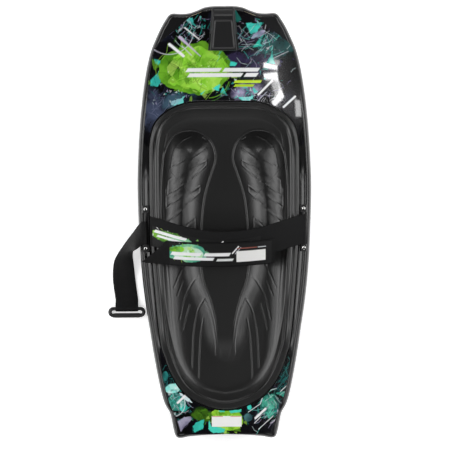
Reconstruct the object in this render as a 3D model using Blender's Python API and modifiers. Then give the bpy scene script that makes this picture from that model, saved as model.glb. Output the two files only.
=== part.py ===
"""Kneeboard lying deck up: moulded hull and deck shells over a foam core, a contoured EVA knee pad,
a tow hook on the nose, and a two-part thigh strap looped on bar brackets at the rails.

Metres, +Z up, nose towards +Y. The origin is on the flat of the hull, under the middle of the board.
"""

import math

import bmesh
import bpy
from mathutils import Matrix, Vector

# Board
LENGTH = 1.275
WIDTH = 0.517
RAIL_HEIGHT = 0.052       # hull bottom to the rail's parting line
DECK_RISE = 0.030         # parting line to the top of the rail
RAIL_ROUND = 0.015        # how far in from the rail its rounding starts
NOSE_ROCKER = 0.066
NOSE_ROCKER_START = 0.20
TAIL_ROCKER = 0.022
TAIL_ROCKER_START = -0.30
NOSE_THINNING = 0.012
NOSE_CROWN = 0.010
SHELL_WALL = 0.004
GAP = 0.0003              # between pieces that touch

# Knee pad
NOSE_DECK = 0.282         # nose tip to the front of the pad
TAIL_DECK = 0.086
RAIL_STRIP = 0.036        # bare deck beside the pad at its widest
PAD_THICKNESS = 0.010
PAD_PROUD = 0.005         # flange above the deck
FLANGE_WIDTH = 0.024
RECESS_SLOPE = 0.006      # run of the sloping wall round the pad's recess
KNEE_DEPTH = 0.044
FOOT_DEPTH = 0.011
PLATEAU_DEPTH = 0.004

# Printed films
FILM = 0.0005
FILM_MARGIN = 0.0045      # film's edge to the pad's edge
RAIL_MARGIN = 0.017       # film's edge to the rail
HORN_MARGIN = 0.034       # the same, more, behind the nose corners
LABEL_SIZE = (0.088, 0.031)
LABEL_OFF_CENTRE = 0.0035
LABEL_FROM_TAIL = 0.0523
LABEL_LIFT = 0.0016       # middle of the label above the film

# Strap brackets
ANCHOR_Y = -0.017
BAR_INSET = 0.021         # bar to the widest point of the rail
BAR_RADIUS = 0.0032
BAR_HEIGHT = 0.0095       # bar's axis above the deck
STRAP_SIDE_GAP = 0.0035   # strap's edge to the bracket's uprights
FOOT_SIZE = (0.018, 0.022, 0.009)
EAR_LENGTH = 0.0040       # upright that holds the end of the bar
EAR_WALL = 0.002          # above the bar
PLATE_THICKNESS = 0.0022
LOOP_CLEARANCE = 0.0005

# Fasteners
BOLT_RADIUS = 0.003
BOLT_HEAD_RADIUS = 0.0052
BOLT_HEAD_HEIGHT = 0.003
BOLT_LENGTH = 0.020
WASHER_RADIUS = 0.0062
WASHER_THICKNESS = 0.001
HOLE_CLEARANCE = 0.0004
INSERT_WALL = 0.0022
INSERT_LENGTH = 0.014

# Webbing
WEBBING = 0.0026
LINER = 0.0036
STRAP_WIDTH = 0.087
STRAP_SHIFT = -0.0018     # strap's middle from the bracket's middle, along Y
STRAP_ARCH = 0.052
STRAP_LEAN = 0.046        # how far the strap's middle leans to the tail
STRAP_TILT = math.radians(30)
STRAP_END_GAP = 0.014     # strap's free end to the left bar
TONGUE_WIDTH = 0.066
LAY = 0.0010              # slack between webbing that lies on webbing
TONGUE_REACH = 0.146      # tongue's free end past the board's middle
TONGUE_HINGE = 0.066      # where the tongue starts to lift, from the left bar
PATCH = 0.0008            # woven patch on the tongue
PATCH_MARGIN = 0.09
PATCH_FIRST, PATCH_LAST = 2, 14
RING_STRAP_WIDTH = 0.068
LOOP_TAIL = 0.022         # sewn overlap of a webbing loop

# Strap ring
RING_WIDTH = 0.112
RING_DEPTH = 0.031
RING_BAR = 0.0055
RING_CORNER = 0.0095
RING_LIP = (0.080, 0.013, 0.011)

# Tow hook
HOOK_REAR = 0.1315        # nose tip to the hook's rear edge
HOOK_LENGTH = 0.112
HOOK_HEIGHT = 0.040
HOOK_FRONT_HEIGHT = 0.022
HOOK_REAR_WIDTH = 0.092
HOOK_FRONT_WIDTH = 0.064
HOOK_TOP_REAR_WIDTH = 0.054
HOOK_TOP_FRONT_WIDTH = 0.044
HOOK_SLOT_DEPTH = 0.050
HOOK_SLOT_HEIGHT = 0.029
HOOK_BASE = 0.004
HOOK_SCREW_SPACING = 0.030

BAR_SPAN = STRAP_WIDTH + 2 * STRAP_SIDE_GAP
HALF_LENGTH = LENGTH / 2
HALF_WIDTH = WIDTH / 2
BOLT_SPACING = BAR_SPAN + FOOT_SIZE[1]
LOOP_RADIUS = BAR_RADIUS + LOOP_CLEARANCE + WEBBING / 2
RING_LOOP_RADIUS = RING_BAR + LOOP_CLEARANCE + WEBBING / 2
INSERT_RADIUS = BOLT_RADIUS + HOLE_CLEARANCE + INSERT_WALL
POLE_Y = -0.016 * LENGTH   # the rings of every lofted shell are centred here

# Half outlines from nose to tail, as shares of the half width and of the half length.
BOARD_OUTLINE = (
    (0.000, 1.000), (0.130, 1.000), (0.245, 0.990), (0.387, 0.969), (0.500, 0.965), (0.600, 0.963),
    (0.650, 0.943), (0.730, 0.893), (0.815, 0.816), (0.880, 0.722), (0.928, 0.607), (0.961, 0.490),
    (0.985, 0.350), (1.000, 0.188), (0.992, 0.030), (0.973, -0.141), (0.935, -0.310), (0.885, -0.455),
    (0.832, -0.594), (0.778, -0.714), (0.731, -0.800), (0.692, -0.847), (0.642, -0.882), (0.612, -0.935),
    (0.580, -0.985), (0.499, -0.999), (0.350, -0.991), (0.175, -0.985), (0.000, -0.984),
)
# The pad's, from its front to its back, as shares of its own half width and half length.
PAD_OUTLINE = (
    (0.000, 1.000), (0.450, 0.996), (0.690, 0.958), (0.800, 0.924), (0.885, 0.884), (0.950, 0.829),
    (0.991, 0.734), (1.000, 0.635), (1.000, 0.326), (0.984, 0.105), (0.966, -0.034), (0.921, -0.296),
    (0.892, -0.446), (0.854, -0.581), (0.818, -0.638), (0.764, -0.717), (0.688, -0.797), (0.589, -0.869),
    (0.445, -0.932), (0.283, -0.971), (0.112, -0.995), (0.000, -1.000),
)
# The raised plateau between the knee wells: half width against distance along the pad, as shares.
PLATEAU_OUTLINE = (
    (-0.560, 0.085), (-0.480, 0.100), (-0.420, 0.122), (-0.290, 0.200), (-0.180, 0.285), (-0.070, 0.325),
    (0.090, 0.330), (0.180, 0.318), (0.290, 0.280), (0.420, 0.205), (0.540, 0.145), (0.640, 0.122),
    (0.730, 0.160), (0.790, 0.300), (0.812, 0.480),
)
# How deep the wells are against distance along the pad, as shares from FOOT_DEPTH to KNEE_DEPTH.
WELL_DEPTHS = (
    (-1.0, 0.0), (-0.60, 0.05), (-0.30, 0.22), (0.00, 0.46), (0.30, 0.74), (0.52, 0.94), (0.66, 1.00), (0.82, 0.86),
)


# ---------------------------------------------------------------- small helpers

def smoothstep(value):
    value = min(1.0, max(0.0, value))
    return value * value * (3 - 2 * value)


def read_table(table, at):
    """The value of a table of (place, value) at a place, straight between its rows."""
    if at <= table[0][0]:
        return table[0][1]
    for (a, first), (b, second) in zip(table, table[1:]):
        if at <= b:
            return first + (second - first) * (at - a) / (b - a)
    return table[-1][1]


def through(points, steps):
    """A smooth open curve through the points, with that many steps between neighbours."""
    padded = [2 * points[0] - points[1], *points, 2 * points[-1] - points[-2]]
    curve = []
    for a, b, c, d in zip(padded, padded[1:], padded[2:], padded[3:]):
        for step in range(steps):
            t = step / steps
            curve.append(0.5 * (2 * b + (c - a) * t + (2 * a - 5 * b + 4 * c - d) * t * t
                                + (3 * b - a - 3 * c + d) * t ** 3))
    return [*curve, points[-1].copy()]


def closed_outline(half):
    """A half outline on +X, nose to tail, made a closed loop that runs anticlockwise from the nose."""
    left = [Vector((-x, y)) for x, y in half]
    right = [Vector((x, y)) for x, y in half[1:-1]]
    return left + right[::-1]


# ---------------------------------------------------------------- the board's surfaces

PAD_FRONT = HALF_LENGTH - NOSE_DECK
PAD_BACK = TAIL_DECK - HALF_LENGTH
PAD_MIDDLE = (PAD_FRONT + PAD_BACK) / 2
PAD_HALF_LENGTH = (PAD_FRONT - PAD_BACK) / 2
PAD_HALF_WIDTH = HALF_WIDTH - RAIL_STRIP
POLE = Vector((0.0, POLE_Y))
RAIL = closed_outline([(x * HALF_WIDTH, y * HALF_LENGTH) for x, y in BOARD_OUTLINE])
SEGMENTS = len(RAIL)


def reach_of(outline, direction):
    """How far the outline is from the pole in that direction."""
    across = Vector((-direction.y, direction.x))
    for a, b in zip(outline, outline[1:] + outline[:1]):
        side_a, side_b = (a - POLE) @ across, (b - POLE) @ across
        if side_a * side_b <= 0 and side_a != side_b:
            crossing = a + (b - a) * side_a / (side_a - side_b)
            if (crossing - POLE) @ direction > 0:
                return (crossing - POLE) @ direction
    raise ValueError("the outline doesn't go round the pole")


def pad_ring():
    """The pad's outline, with one point on each spoke from the pole to the rail."""
    half = [Vector((x * PAD_HALF_WIDTH, PAD_MIDDLE + y * PAD_HALF_LENGTH)) for x, y in PAD_OUTLINE]
    outline = closed_outline([(p.x, p.y) for p in through(half, 3)])
    spokes = [(q - POLE).normalized() for q in RAIL]
    return [POLE + spoke * reach_of(outline, spoke) for spoke in spokes]


def inset(ring, distance):
    """A ring moved in along its spokes, by about that distance square to the ring. distance is a number or one each."""
    moved = []
    for i, point in enumerate(ring):
        along = ring[(i + 1) % SEGMENTS] - ring[i - 1]
        outward = Vector((along.y, -along.x)).normalized()
        spoke = (point - POLE).normalized()
        by = distance[i] if isinstance(distance, list) else distance
        moved.append(point - spoke * by / max(0.55, outward @ spoke))
    return moved


def scaled(ring, share):
    return [POLE + (point - POLE) * share for point in ring]


def keel(y):
    """Height of the hull's middle line."""
    nose = max(0.0, (y - NOSE_ROCKER_START) / (HALF_LENGTH - NOSE_ROCKER_START))
    tail = max(0.0, (TAIL_ROCKER_START - y) / (HALF_LENGTH + TAIL_ROCKER_START))
    return NOSE_ROCKER * nose ** 2 + TAIL_ROCKER * tail ** 2


def rail_z(y):
    nose = max(0.0, (y - NOSE_ROCKER_START) / (HALF_LENGTH - NOSE_ROCKER_START))
    return keel(y) + RAIL_HEIGHT - NOSE_THINNING * nose ** 2


def deck_z(x, y):
    """Height of the deck's top, without the pad's recess."""
    crown = NOSE_CROWN * smoothstep((y - 0.3 * HALF_LENGTH) / (0.4 * HALF_LENGTH))
    return rail_z(y) + DECK_RISE + crown * (1 - min(1.0, abs(x) / HALF_WIDTH) ** 2)


def hull_z(point, share):
    """Height of the hull on a ring that is that share of the way out to the rail."""
    turn = max(0.0, (share - 0.5) / 0.5)
    return keel(point.y) + (rail_z(point.y) - keel(point.y)) * turn ** 2.6


def flange_z(x, y):
    return deck_z(x, y) + PAD_PROUD


def basin_depth(x, y):
    """How far the pad's top lies below its flange: a plateau between two knee wells that run out to the feet."""
    u, v = abs(x) / PAD_HALF_WIDTH, (y - PAD_MIDDLE) / PAD_HALF_LENGTH
    deep = FOOT_DEPTH + (KNEE_DEPTH - FOOT_DEPTH) * read_table(WELL_DEPTHS, v)
    inner = smoothstep((u - read_table(PLATEAU_OUTLINE, v)) / 0.16)
    outer = smoothstep((0.90 - u) / 0.22)
    front = smoothstep((0.845 - v - 0.25 * max(0.0, abs(u - 0.46) - 0.05)) / 0.10)
    merged = smoothstep((-0.50 - v) / 0.10)
    plateau = PLATEAU_DEPTH + (FOOT_DEPTH - PLATEAU_DEPTH) * merged
    return plateau + (deep - plateau) * max(inner, merged) * outer * front


PAD = pad_ring()
PAD_INNER = inset(PAD, FLANGE_WIDTH)
BOWL_SHARES = (0.16, 0.33, 0.49, 0.63, 0.75, 0.85, 0.94)


def pad_top(ring, extra=0.0):
    """A ring on the pad's basin. extra lowers it, for the surfaces below the pad."""
    return [Vector((p.x, p.y, flange_z(p.x, p.y) - basin_depth(p.x, p.y) - extra)) for p in ring]


def on_deck(ring, drop=0.0):
    return [Vector((p.x, p.y, deck_z(p.x, p.y) - drop)) for p in ring]


def film_ring():
    """The line that the printed films stop at, further in behind the nose corners and by the pad at the sides."""
    margins = []
    for point in RAIL:
        nose = smoothstep((point.y / HALF_LENGTH - 0.72) / 0.16)
        horn = nose * smoothstep((abs(point.x) / HALF_WIDTH - 0.20) / 0.30)
        margins.append(RAIL_MARGIN + (HORN_MARGIN - RAIL_MARGIN) * horn)
    free = inset(RAIL, margins)
    edge = inset(PAD, -1.5 * FILM_MARGIN)
    return [a if (a - POLE).length > (b - POLE).length else b for a, b in zip(free, edge)]


FILM_OUTER = film_ring()
FILM_INNER = inset(PAD, -FILM_MARGIN)
FILM_RINGS = [[a.lerp(b, share) for a, b in zip(FILM_INNER, FILM_OUTER)] for share in (0, 0.5, 1)]
RAIL_TOP = inset(RAIL, RAIL_ROUND)


def rail_rounding(drop, steps=3):
    """The rings from the top of the rail down to the parting line. drop is how far inside the rail's surface."""
    rings = []
    for step in range(1, steps + 1):
        turn = math.pi / 2 * step / steps
        ring = inset(RAIL, drop + (RAIL_ROUND - drop) * (1 - math.sin(turn)))
        rings.append([Vector((p.x, p.y, rail_z(p.y) + GAP / 2 + (DECK_RISE - GAP / 2 - drop) * math.cos(turn)))
                      for p in ring])
    return rings


def deck_rings(drop):
    """The deck's surface from the middle of its bowl out to the parting line, sunk by drop for the inner side."""
    under = PAD_THICKNESS + GAP + drop
    shelf = under - PAD_PROUD
    return [
        *[pad_top(scaled(PAD_INNER, share), under) for share in BOWL_SHARES],
        on_deck(PAD_INNER, shelf),
        on_deck(inset(PAD, RECESS_SLOPE - GAP), shelf),
        on_deck(inset(PAD, -GAP), drop),
        *[on_deck(ring, drop) for ring in FILM_RINGS],
        on_deck(RAIL_TOP, drop),
        *rail_rounding(drop),
    ]


def hull_rings(drop):
    """The hull's surface from its middle out to the parting line, raised by drop for the inner side."""
    rings = []
    for share in (0.25, 0.50, 0.66, 0.80, 0.91, 0.97, 1.0):
        flat = scaled(inset(RAIL, drop), share)
        rings.append([Vector((p.x, p.y, hull_z(p, share) - (GAP / 2 if share == 1 else -drop * (1 - share ** 8))))
                      for p in flat])
    return rings


# ---------------------------------------------------------------- making objects

def new_collection(name):
    collection = bpy.data.collections.new(name)
    bpy.context.scene.collection.children.link(collection)
    return collection


def material(name, color, roughness, metallic=0.0):
    made = bpy.data.materials.new(name)
    made.use_nodes = True
    shader = made.node_tree.nodes["Principled BSDF"]
    shader.inputs["Base Color"].default_value = (*color, 1.0)
    shader.inputs["Roughness"].default_value = roughness
    shader.inputs["Metallic"].default_value = metallic
    return made


def put(name, mesh, finish, collection):
    obj = bpy.data.objects.new(name, mesh)
    collection.objects.link(obj)
    if finish:
        mesh.materials.clear()
        mesh.materials.append(finish)
    return obj


def split_quads(bm, places):
    """Cuts every four-sided face along one diagonal, chosen by its place only, so that surfaces with the same rings
    have the same facets. places maps a vertex to (how far out it is, its spoke)."""
    for face in [f for f in bm.faces if len(f.verts) == 4]:
        spokes = sorted({places[vert][1] for vert in face.verts})
        first, second = spokes if spokes[1] - spokes[0] == 1 else spokes[::-1]
        if first >= SEGMENTS // 2:
            first, second = second, first
        inner, outer = sorted({places[vert][0] for vert in face.verts})
        ends = [vert for vert in face.verts if places[vert] in ((inner, first), (outer, second))]
        bmesh.utils.face_split(face, *ends)


def lofted(name, outward, inward, pole_top, pole_bottom, finish, collection):
    """A closed solid made from a sphere, each of whose latitudes is moved onto one of the rings: those that run
    outward from the top pole, then those that run inward to the bottom pole."""
    rings = outward + inward
    bm = bmesh.new()
    bmesh.ops.create_uvsphere(bm, u_segments=SEGMENTS, v_segments=len(rings) + 1, radius=1.0)
    places = {}
    for vert in bm.verts:
        level = round(math.acos(max(-1.0, min(1.0, vert.co.z))) / math.pi * (len(rings) + 1))
        if level == 0:
            vert.co = pole_top
        elif level == len(rings) + 1:
            vert.co = pole_bottom
        else:
            spoke = round(math.atan2(-vert.co.x, vert.co.y) / math.tau * SEGMENTS) % SEGMENTS
            vert.co = rings[level - 1][spoke]
            places[vert] = (level if level <= len(outward) else 2 * len(rings) - level, spoke)
    split_quads(bm, places)
    mesh = bpy.data.meshes.new(name)
    bm.to_mesh(mesh)
    bm.free()
    mesh.shade_smooth()
    mesh.set_sharp_from_angle(angle=math.radians(35))
    return put(name, mesh, finish, collection)


def pole_point(z):
    return Vector((POLE.x, POLE.y, z))


def cylinder(name, radius, length, base, finish, collection, segments=20):
    """A cylinder standing on base along its +Z."""
    bm = bmesh.new()
    bmesh.ops.create_cone(bm, cap_ends=True, segments=segments, radius1=radius, radius2=radius, depth=length,
                          matrix=Matrix.Translation((0, 0, length / 2)))
    mesh = bpy.data.meshes.new(name)
    bm.to_mesh(mesh)
    bm.free()
    obj = put(name, mesh, finish, collection)
    obj.location = base
    return obj


def box(name, size, centre, finish, collection):
    bm = bmesh.new()
    bmesh.ops.create_cube(bm, size=1.0, matrix=Matrix.Diagonal((*size, 1.0)))
    mesh = bpy.data.meshes.new(name)
    bm.to_mesh(mesh)
    bm.free()
    obj = put(name, mesh, finish, collection)
    obj.location = centre
    return obj


def boolean(obj, other, operation, cutters):
    """Joins other to obj or cuts it away. other becomes a hidden helper."""
    modifier = obj.modifiers.new(other.name, "BOOLEAN")
    modifier.operation = operation
    modifier.object = other
    modifier.solver = "EXACT"
    if other.name not in cutters.objects:
        for owner in other.users_collection:
            owner.objects.unlink(other)
        cutters.objects.link(other)
    other.hide_render = True
    other.display_type = "WIRE"


def turned(name, profile, base, finish, collection, steps=14):
    """A solid of revolution about +Z. The profile is (radius, height) from the top down its outer side."""
    mesh = bpy.data.meshes.new(name)
    closed = len(profile) if profile[0][0] > 0 else len(profile) - 1
    edges = [(i, (i + 1) % len(profile)) for i in range(closed)]
    mesh.from_pydata([(r, 0, z) for r, z in profile], edges, [])
    obj = put(name, mesh, finish, collection)
    screw = obj.modifiers.new("turn", "SCREW")
    screw.axis = "Z"
    screw.steps = screw.render_steps = steps
    screw.use_merge_vertices = True
    screw.merge_threshold = 0.00005
    obj.location = base
    return obj


def ribbon(name, stations, thickness, finish, collection, columns=2):
    """Webbing between two edges: stations are pairs of edge points, and the thickness is set about their middle."""
    bpy.ops.mesh.primitive_grid_add(x_subdivisions=columns, y_subdivisions=len(stations) - 1, size=1)
    obj = bpy.context.object
    obj.name = obj.data.name = name
    for owner in obj.users_collection:
        owner.objects.unlink(obj)
    collection.objects.link(obj)
    for vert in obj.data.vertices:
        column, row = vert.index % (columns + 1), vert.index // (columns + 1)
        first, second = stations[row]
        vert.co = first.lerp(second, column / columns)
    solidify = obj.modifiers.new("thickness", "SOLIDIFY")
    solidify.thickness = thickness
    solidify.offset = 0
    solidify.use_even_offset = True
    obj.data.materials.append(finish)
    return obj


def raised(stations, distance):
    """Stations moved off the webbing's face, up on a strap that lies flat."""
    moved = []
    for i, (first, second) in enumerate(stations):
        before, after = stations[max(0, i - 1)], stations[min(len(stations) - 1, i + 1)]
        along = (after[0] + after[1]) - (before[0] + before[1])
        normal = along.cross(second - first).normalized()
        if normal.z < 0:
            normal.negate()
        moved.append((first + normal * distance, second + normal * distance))
    return moved


# ---------------------------------------------------------------- board

def build_shells(parts, cutters, finishes):
    pad_pole = flange_z(0, POLE.y) - basin_depth(0, POLE.y)
    under = PAD_THICKNESS + GAP
    deck = lofted("deck_shell", deck_rings(0), deck_rings(SHELL_WALL)[::-1], pole_point(pad_pole - under),
                  pole_point(pad_pole - under - SHELL_WALL), finishes["shell"], parts)
    lofted("hull_shell", hull_rings(SHELL_WALL), hull_rings(0)[::-1], pole_point(SHELL_WALL), pole_point(0),
           finishes["shell"], parts)
    inside = SHELL_WALL + GAP
    core = lofted("foam_core", deck_rings(inside)[:-1], hull_rings(inside)[::-1],
                  pole_point(pad_pole - under - inside), pole_point(inside), finishes["foam"], parts)
    return deck, core


def build_pad(parts, finishes):
    """The pad has one thickness over its bowl and a flange that stands proud of the deck."""
    top = [
        *[pad_top(scaled(PAD_INNER, share)) for share in BOWL_SHARES],
        on_deck(PAD_INNER, -PAD_PROUD + PLATEAU_DEPTH / 2),
        on_deck(inset(PAD, 0.85 * FLANGE_WIDTH), -PAD_PROUD),
        on_deck(inset(PAD, PAD_PROUD), -PAD_PROUD),
        on_deck(inset(PAD, 0.3 * PAD_PROUD), -0.65 * PAD_PROUD),
        on_deck(PAD, -GAP),
    ]
    shelf = PAD_THICKNESS - PAD_PROUD
    bottom = [
        on_deck(inset(PAD, RECESS_SLOPE), shelf),
        on_deck(PAD_INNER, shelf),
        *[pad_top(scaled(PAD_INNER, share), PAD_THICKNESS) for share in BOWL_SHARES[::-1]],
    ]
    pole = flange_z(0, POLE.y) - basin_depth(0, POLE.y)
    lofted("knee_pad", top, bottom, pole_point(pole), pole_point(pole - PAD_THICKNESS), finishes["eva"], parts)


def spokes_between(low, high):
    """The run of spokes, in order, whose rail points have Y between two values."""
    run = [i for i in range(SEGMENTS) if low <= RAIL[i].y <= high]
    start = next(i for i in run if (i - 1) % SEGMENTS not in run)
    return [(start + k) % SEGMENTS for k in range(len(run))]


def film(name, spokes, finish, parts):
    """A printed film that lies on the deck's own facets between the pad and the rail, along a run of spokes."""
    bm = bmesh.new()
    bmesh.ops.create_grid(bm, x_segments=len(FILM_RINGS) - 1, y_segments=len(spokes) - 1, size=1.0)
    places = {}
    for vert in bm.verts:
        level = round((vert.co.x + 1) / 2 * (len(FILM_RINGS) - 1))
        spoke = spokes[round((vert.co.y + 1) / 2 * (len(spokes) - 1))]
        point = FILM_RINGS[level][spoke]
        vert.co = (point.x, point.y, deck_z(point.x, point.y) + GAP)
        places[vert] = (level, spoke)
    split_quads(bm, places)
    mesh = bpy.data.meshes.new(name)
    bm.to_mesh(mesh)
    bm.free()
    obj = put(name, mesh, finish, parts)
    solidify = obj.modifiers.new("thickness", "SOLIDIFY")
    solidify.thickness = FILM
    solidify.offset = 1
    return obj


def build_label(parts, finishes):
    """A blank sticker on the tail film, off to the right."""
    x, y = LABEL_OFF_CENTRE, LABEL_FROM_TAIL - HALF_LENGTH
    half = LABEL_SIZE[1] / 2
    slope = math.atan2(deck_z(x, y + half) - deck_z(x, y - half), 2 * half)
    label = box("blank_label", (*LABEL_SIZE, FILM), (x, y, deck_z(x, y) + FILM + LABEL_LIFT), finishes["label"], parts)
    label.rotation_euler = (slope, 0, 0)


def build_films(parts, finishes):
    nose = film("nose_graphic", spokes_between(0.38 * HALF_LENGTH, HALF_LENGTH), finishes["print"], parts)
    film("tail_graphic", spokes_between(-HALF_LENGTH, -0.58 * HALF_LENGTH), finishes["print"], parts)
    build_label(parts, finishes)
    return nose


# ---------------------------------------------------------------- fasteners

def fastener(name, place, turn, through_length, parts, cutters, finishes, cut_from, washer=True):
    """A button-head bolt with its washer and the threaded insert it holds in, and the holes they need.
    place is where the clamped piece's top meets the washer; through_length is how far down the insert starts."""
    lift = WASHER_THICKNESS + 2 * GAP if washer else GAP
    head_foot = place + turn @ Vector((0, 0, lift))
    profile = [(0, BOLT_HEAD_HEIGHT), (0.55 * BOLT_HEAD_RADIUS, 0.93 * BOLT_HEAD_HEIGHT),
               (0.86 * BOLT_HEAD_RADIUS, 0.62 * BOLT_HEAD_HEIGHT), (BOLT_HEAD_RADIUS, 0.15 * BOLT_HEAD_HEIGHT),
               (BOLT_HEAD_RADIUS, 0), (BOLT_RADIUS, 0), (BOLT_RADIUS, -BOLT_LENGTH), (0, -BOLT_LENGTH)]
    bolt = turned(name + "_bolt", profile, head_foot, finishes["steel"], parts)
    bolt.rotation_euler = turn.to_euler()
    if washer:
        inner = BOLT_RADIUS + HOLE_CLEARANCE
        ring = [(inner, WASHER_THICKNESS), (WASHER_RADIUS, WASHER_THICKNESS), (WASHER_RADIUS, 0), (inner, 0)]
        disc = turned(name + "_washer", ring, place + turn @ Vector((0, 0, GAP)), finishes["steel"], parts)
        disc.rotation_euler = turn.to_euler()
    inner = BOLT_RADIUS + HOLE_CLEARANCE
    sleeve = [(inner, 0), (INSERT_RADIUS, 0), (INSERT_RADIUS, -INSERT_LENGTH), (inner, -INSERT_LENGTH)]
    top = place - turn @ Vector((0, 0, through_length))
    insert = turned(name + "_insert", sleeve, top, finishes["brass"], parts)
    insert.rotation_euler = turn.to_euler()
    depth = INSERT_LENGTH + 0.008
    pocket = cylinder(name + "_pocket", INSERT_RADIUS + GAP, depth + 0.010, top - turn @ Vector((0, 0, depth)), None,
                      cutters)
    pocket.rotation_euler = turn.to_euler()
    for target in cut_from:
        boolean(target, pocket, "DIFFERENCE", cutters)


def bolt_hole(target, place, turn, cutters, name):
    hole = cylinder(name, BOLT_RADIUS + HOLE_CLEARANCE, 0.08, place - turn @ Vector((0, 0, 0.04)), None, cutters)
    hole.rotation_euler = turn.to_euler()
    boolean(target, hole, "DIFFERENCE", cutters)


# ---------------------------------------------------------------- strap brackets

def half_width_at(y):
    rows = sorted((p.y, p.x) for p in RAIL if p.x > 0.4 * HALF_WIDTH and abs(p.y) < 0.6 * HALF_LENGTH)
    return read_table(rows, y)


BAR_X = half_width_at(ANCHOR_Y) - BAR_INSET
SEAT_Z = rail_z(ANCHOR_Y) + DECK_RISE
BAR_Z = SEAT_Z + GAP + BAR_HEIGHT


def build_bracket(side, parts, cutters, finishes, cut_from):
    """A plate with two feet and a round bar between them, which a webbing loop turns on."""
    name = "left" if side < 0 else "right"
    x, base = side * BAR_X, SEAT_Z + GAP
    bracket = box(f"{name}_bracket", (FOOT_SIZE[0], BAR_SPAN + 2 * FOOT_SIZE[1], PLATE_THICKNESS),
                  (x, ANCHOR_Y, base + PLATE_THICKNESS / 2), finishes["nylon"], parts)
    for end in (-1, 1):
        y = ANCHOR_Y + end * BOLT_SPACING / 2
        foot = box(f"{name}_foot_{end}", FOOT_SIZE, (x, y, base + FOOT_SIZE[2] / 2), None, cutters)
        rounding = foot.modifiers.new("round", "BEVEL")
        rounding.width = 0.002
        rounding.segments = 2
        boolean(bracket, foot, "UNION", cutters)
        ear_height = BAR_HEIGHT + BAR_RADIUS + EAR_WALL
        ear = box(f"{name}_ear_{end}", (0.8 * FOOT_SIZE[0], EAR_LENGTH, ear_height),
                  (x, ANCHOR_Y + end * (BAR_SPAN + EAR_LENGTH) / 2, base + ear_height / 2), None, cutters)
        rounding = ear.modifiers.new("round", "BEVEL")
        rounding.width = 0.0015
        rounding.segments = 2
        boolean(bracket, ear, "UNION", cutters)
    reach = BAR_SPAN / 2 + 0.8 * EAR_LENGTH
    bar = cylinder(f"{name}_bar", BAR_RADIUS, 2 * reach, (x, ANCHOR_Y + reach, BAR_Z), None, cutters, segments=16)
    bar.rotation_euler = (math.pi / 2, 0, 0)
    boolean(bracket, bar, "UNION", cutters)
    upright = Matrix.Identity(3)
    for end, place in ((-1, "rear"), (1, "front")):
        top = Vector((x, ANCHOR_Y + end * BOLT_SPACING / 2, base + FOOT_SIZE[2]))
        bolt_hole(bracket, top, upright, cutters, f"{name}_{place}_hole")
        fastener(f"{name}_{place}", top, upright, FOOT_SIZE[2] + 2 * GAP, parts, cutters, finishes, cut_from)


# ---------------------------------------------------------------- straps

def bar_loop(centre, radius, half, middle_y):
    """Stations of webbing that comes in from -X, below, turns round the far side of a bar and ends on its top."""
    turns = [(-1.9, 0.25), (-1.25, -0.62), (-0.5, -0.97)]
    turns += [(math.cos(angle), math.sin(angle)) for angle in (math.pi * (step / 8 - 0.5) for step in range(9))]
    stations = []
    for across, up in turns:
        x, z = centre.x + radius * across, centre.z + radius * up
        stations.append((Vector((x, middle_y + half, z)), Vector((x, middle_y - half, z))))
    return stations


def strap_place(x):
    """Middle of the thigh strap over the deck at x: its Y, its height and its tilt."""
    share = 1 - (x / BAR_X) ** 2
    y = ANCHOR_Y + STRAP_SHIFT - STRAP_LEAN * max(0.0, share) ** 1.25
    z = BAR_Z + LOOP_RADIUS + STRAP_ARCH * share
    return y, z, STRAP_TILT * share


def strap_stations(first_x, last_x, count):
    stations = []
    for step in range(count):
        x = first_x + (last_x - first_x) * step / (count - 1)
        y, z, tilt = strap_place(x)
        across = Vector((0, math.cos(tilt), math.sin(tilt))) * STRAP_WIDTH / 2
        middle = Vector((x, y, z))
        stations.append((middle + across, middle - across))
    return stations


def strap_z(x, y):
    """Height of the middle of the thigh strap's webbing, also past its edges."""
    middle_y, middle_z, tilt = strap_place(x)
    return middle_z + (y - middle_y) * math.tan(tilt)


def tongue_point(x, y):
    """A point on the strap's top face, where the tongue lies."""
    step = 0.002
    along = (strap_z(x + step, y) - strap_z(x - step, y)) / (2 * step)
    across = (strap_z(x, y + step) - strap_z(x, y - step)) / (2 * step)
    steepness = math.sqrt(1 + along ** 2 + across ** 2)
    return Vector((x, y, strap_z(x, y) + (WEBBING + LAY) * steepness))


def tongue_middle(x):
    share = 1 - ((x + 0.03) / BAR_X) ** 2
    return ANCHOR_Y - 0.063 - 0.018 * share


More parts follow.
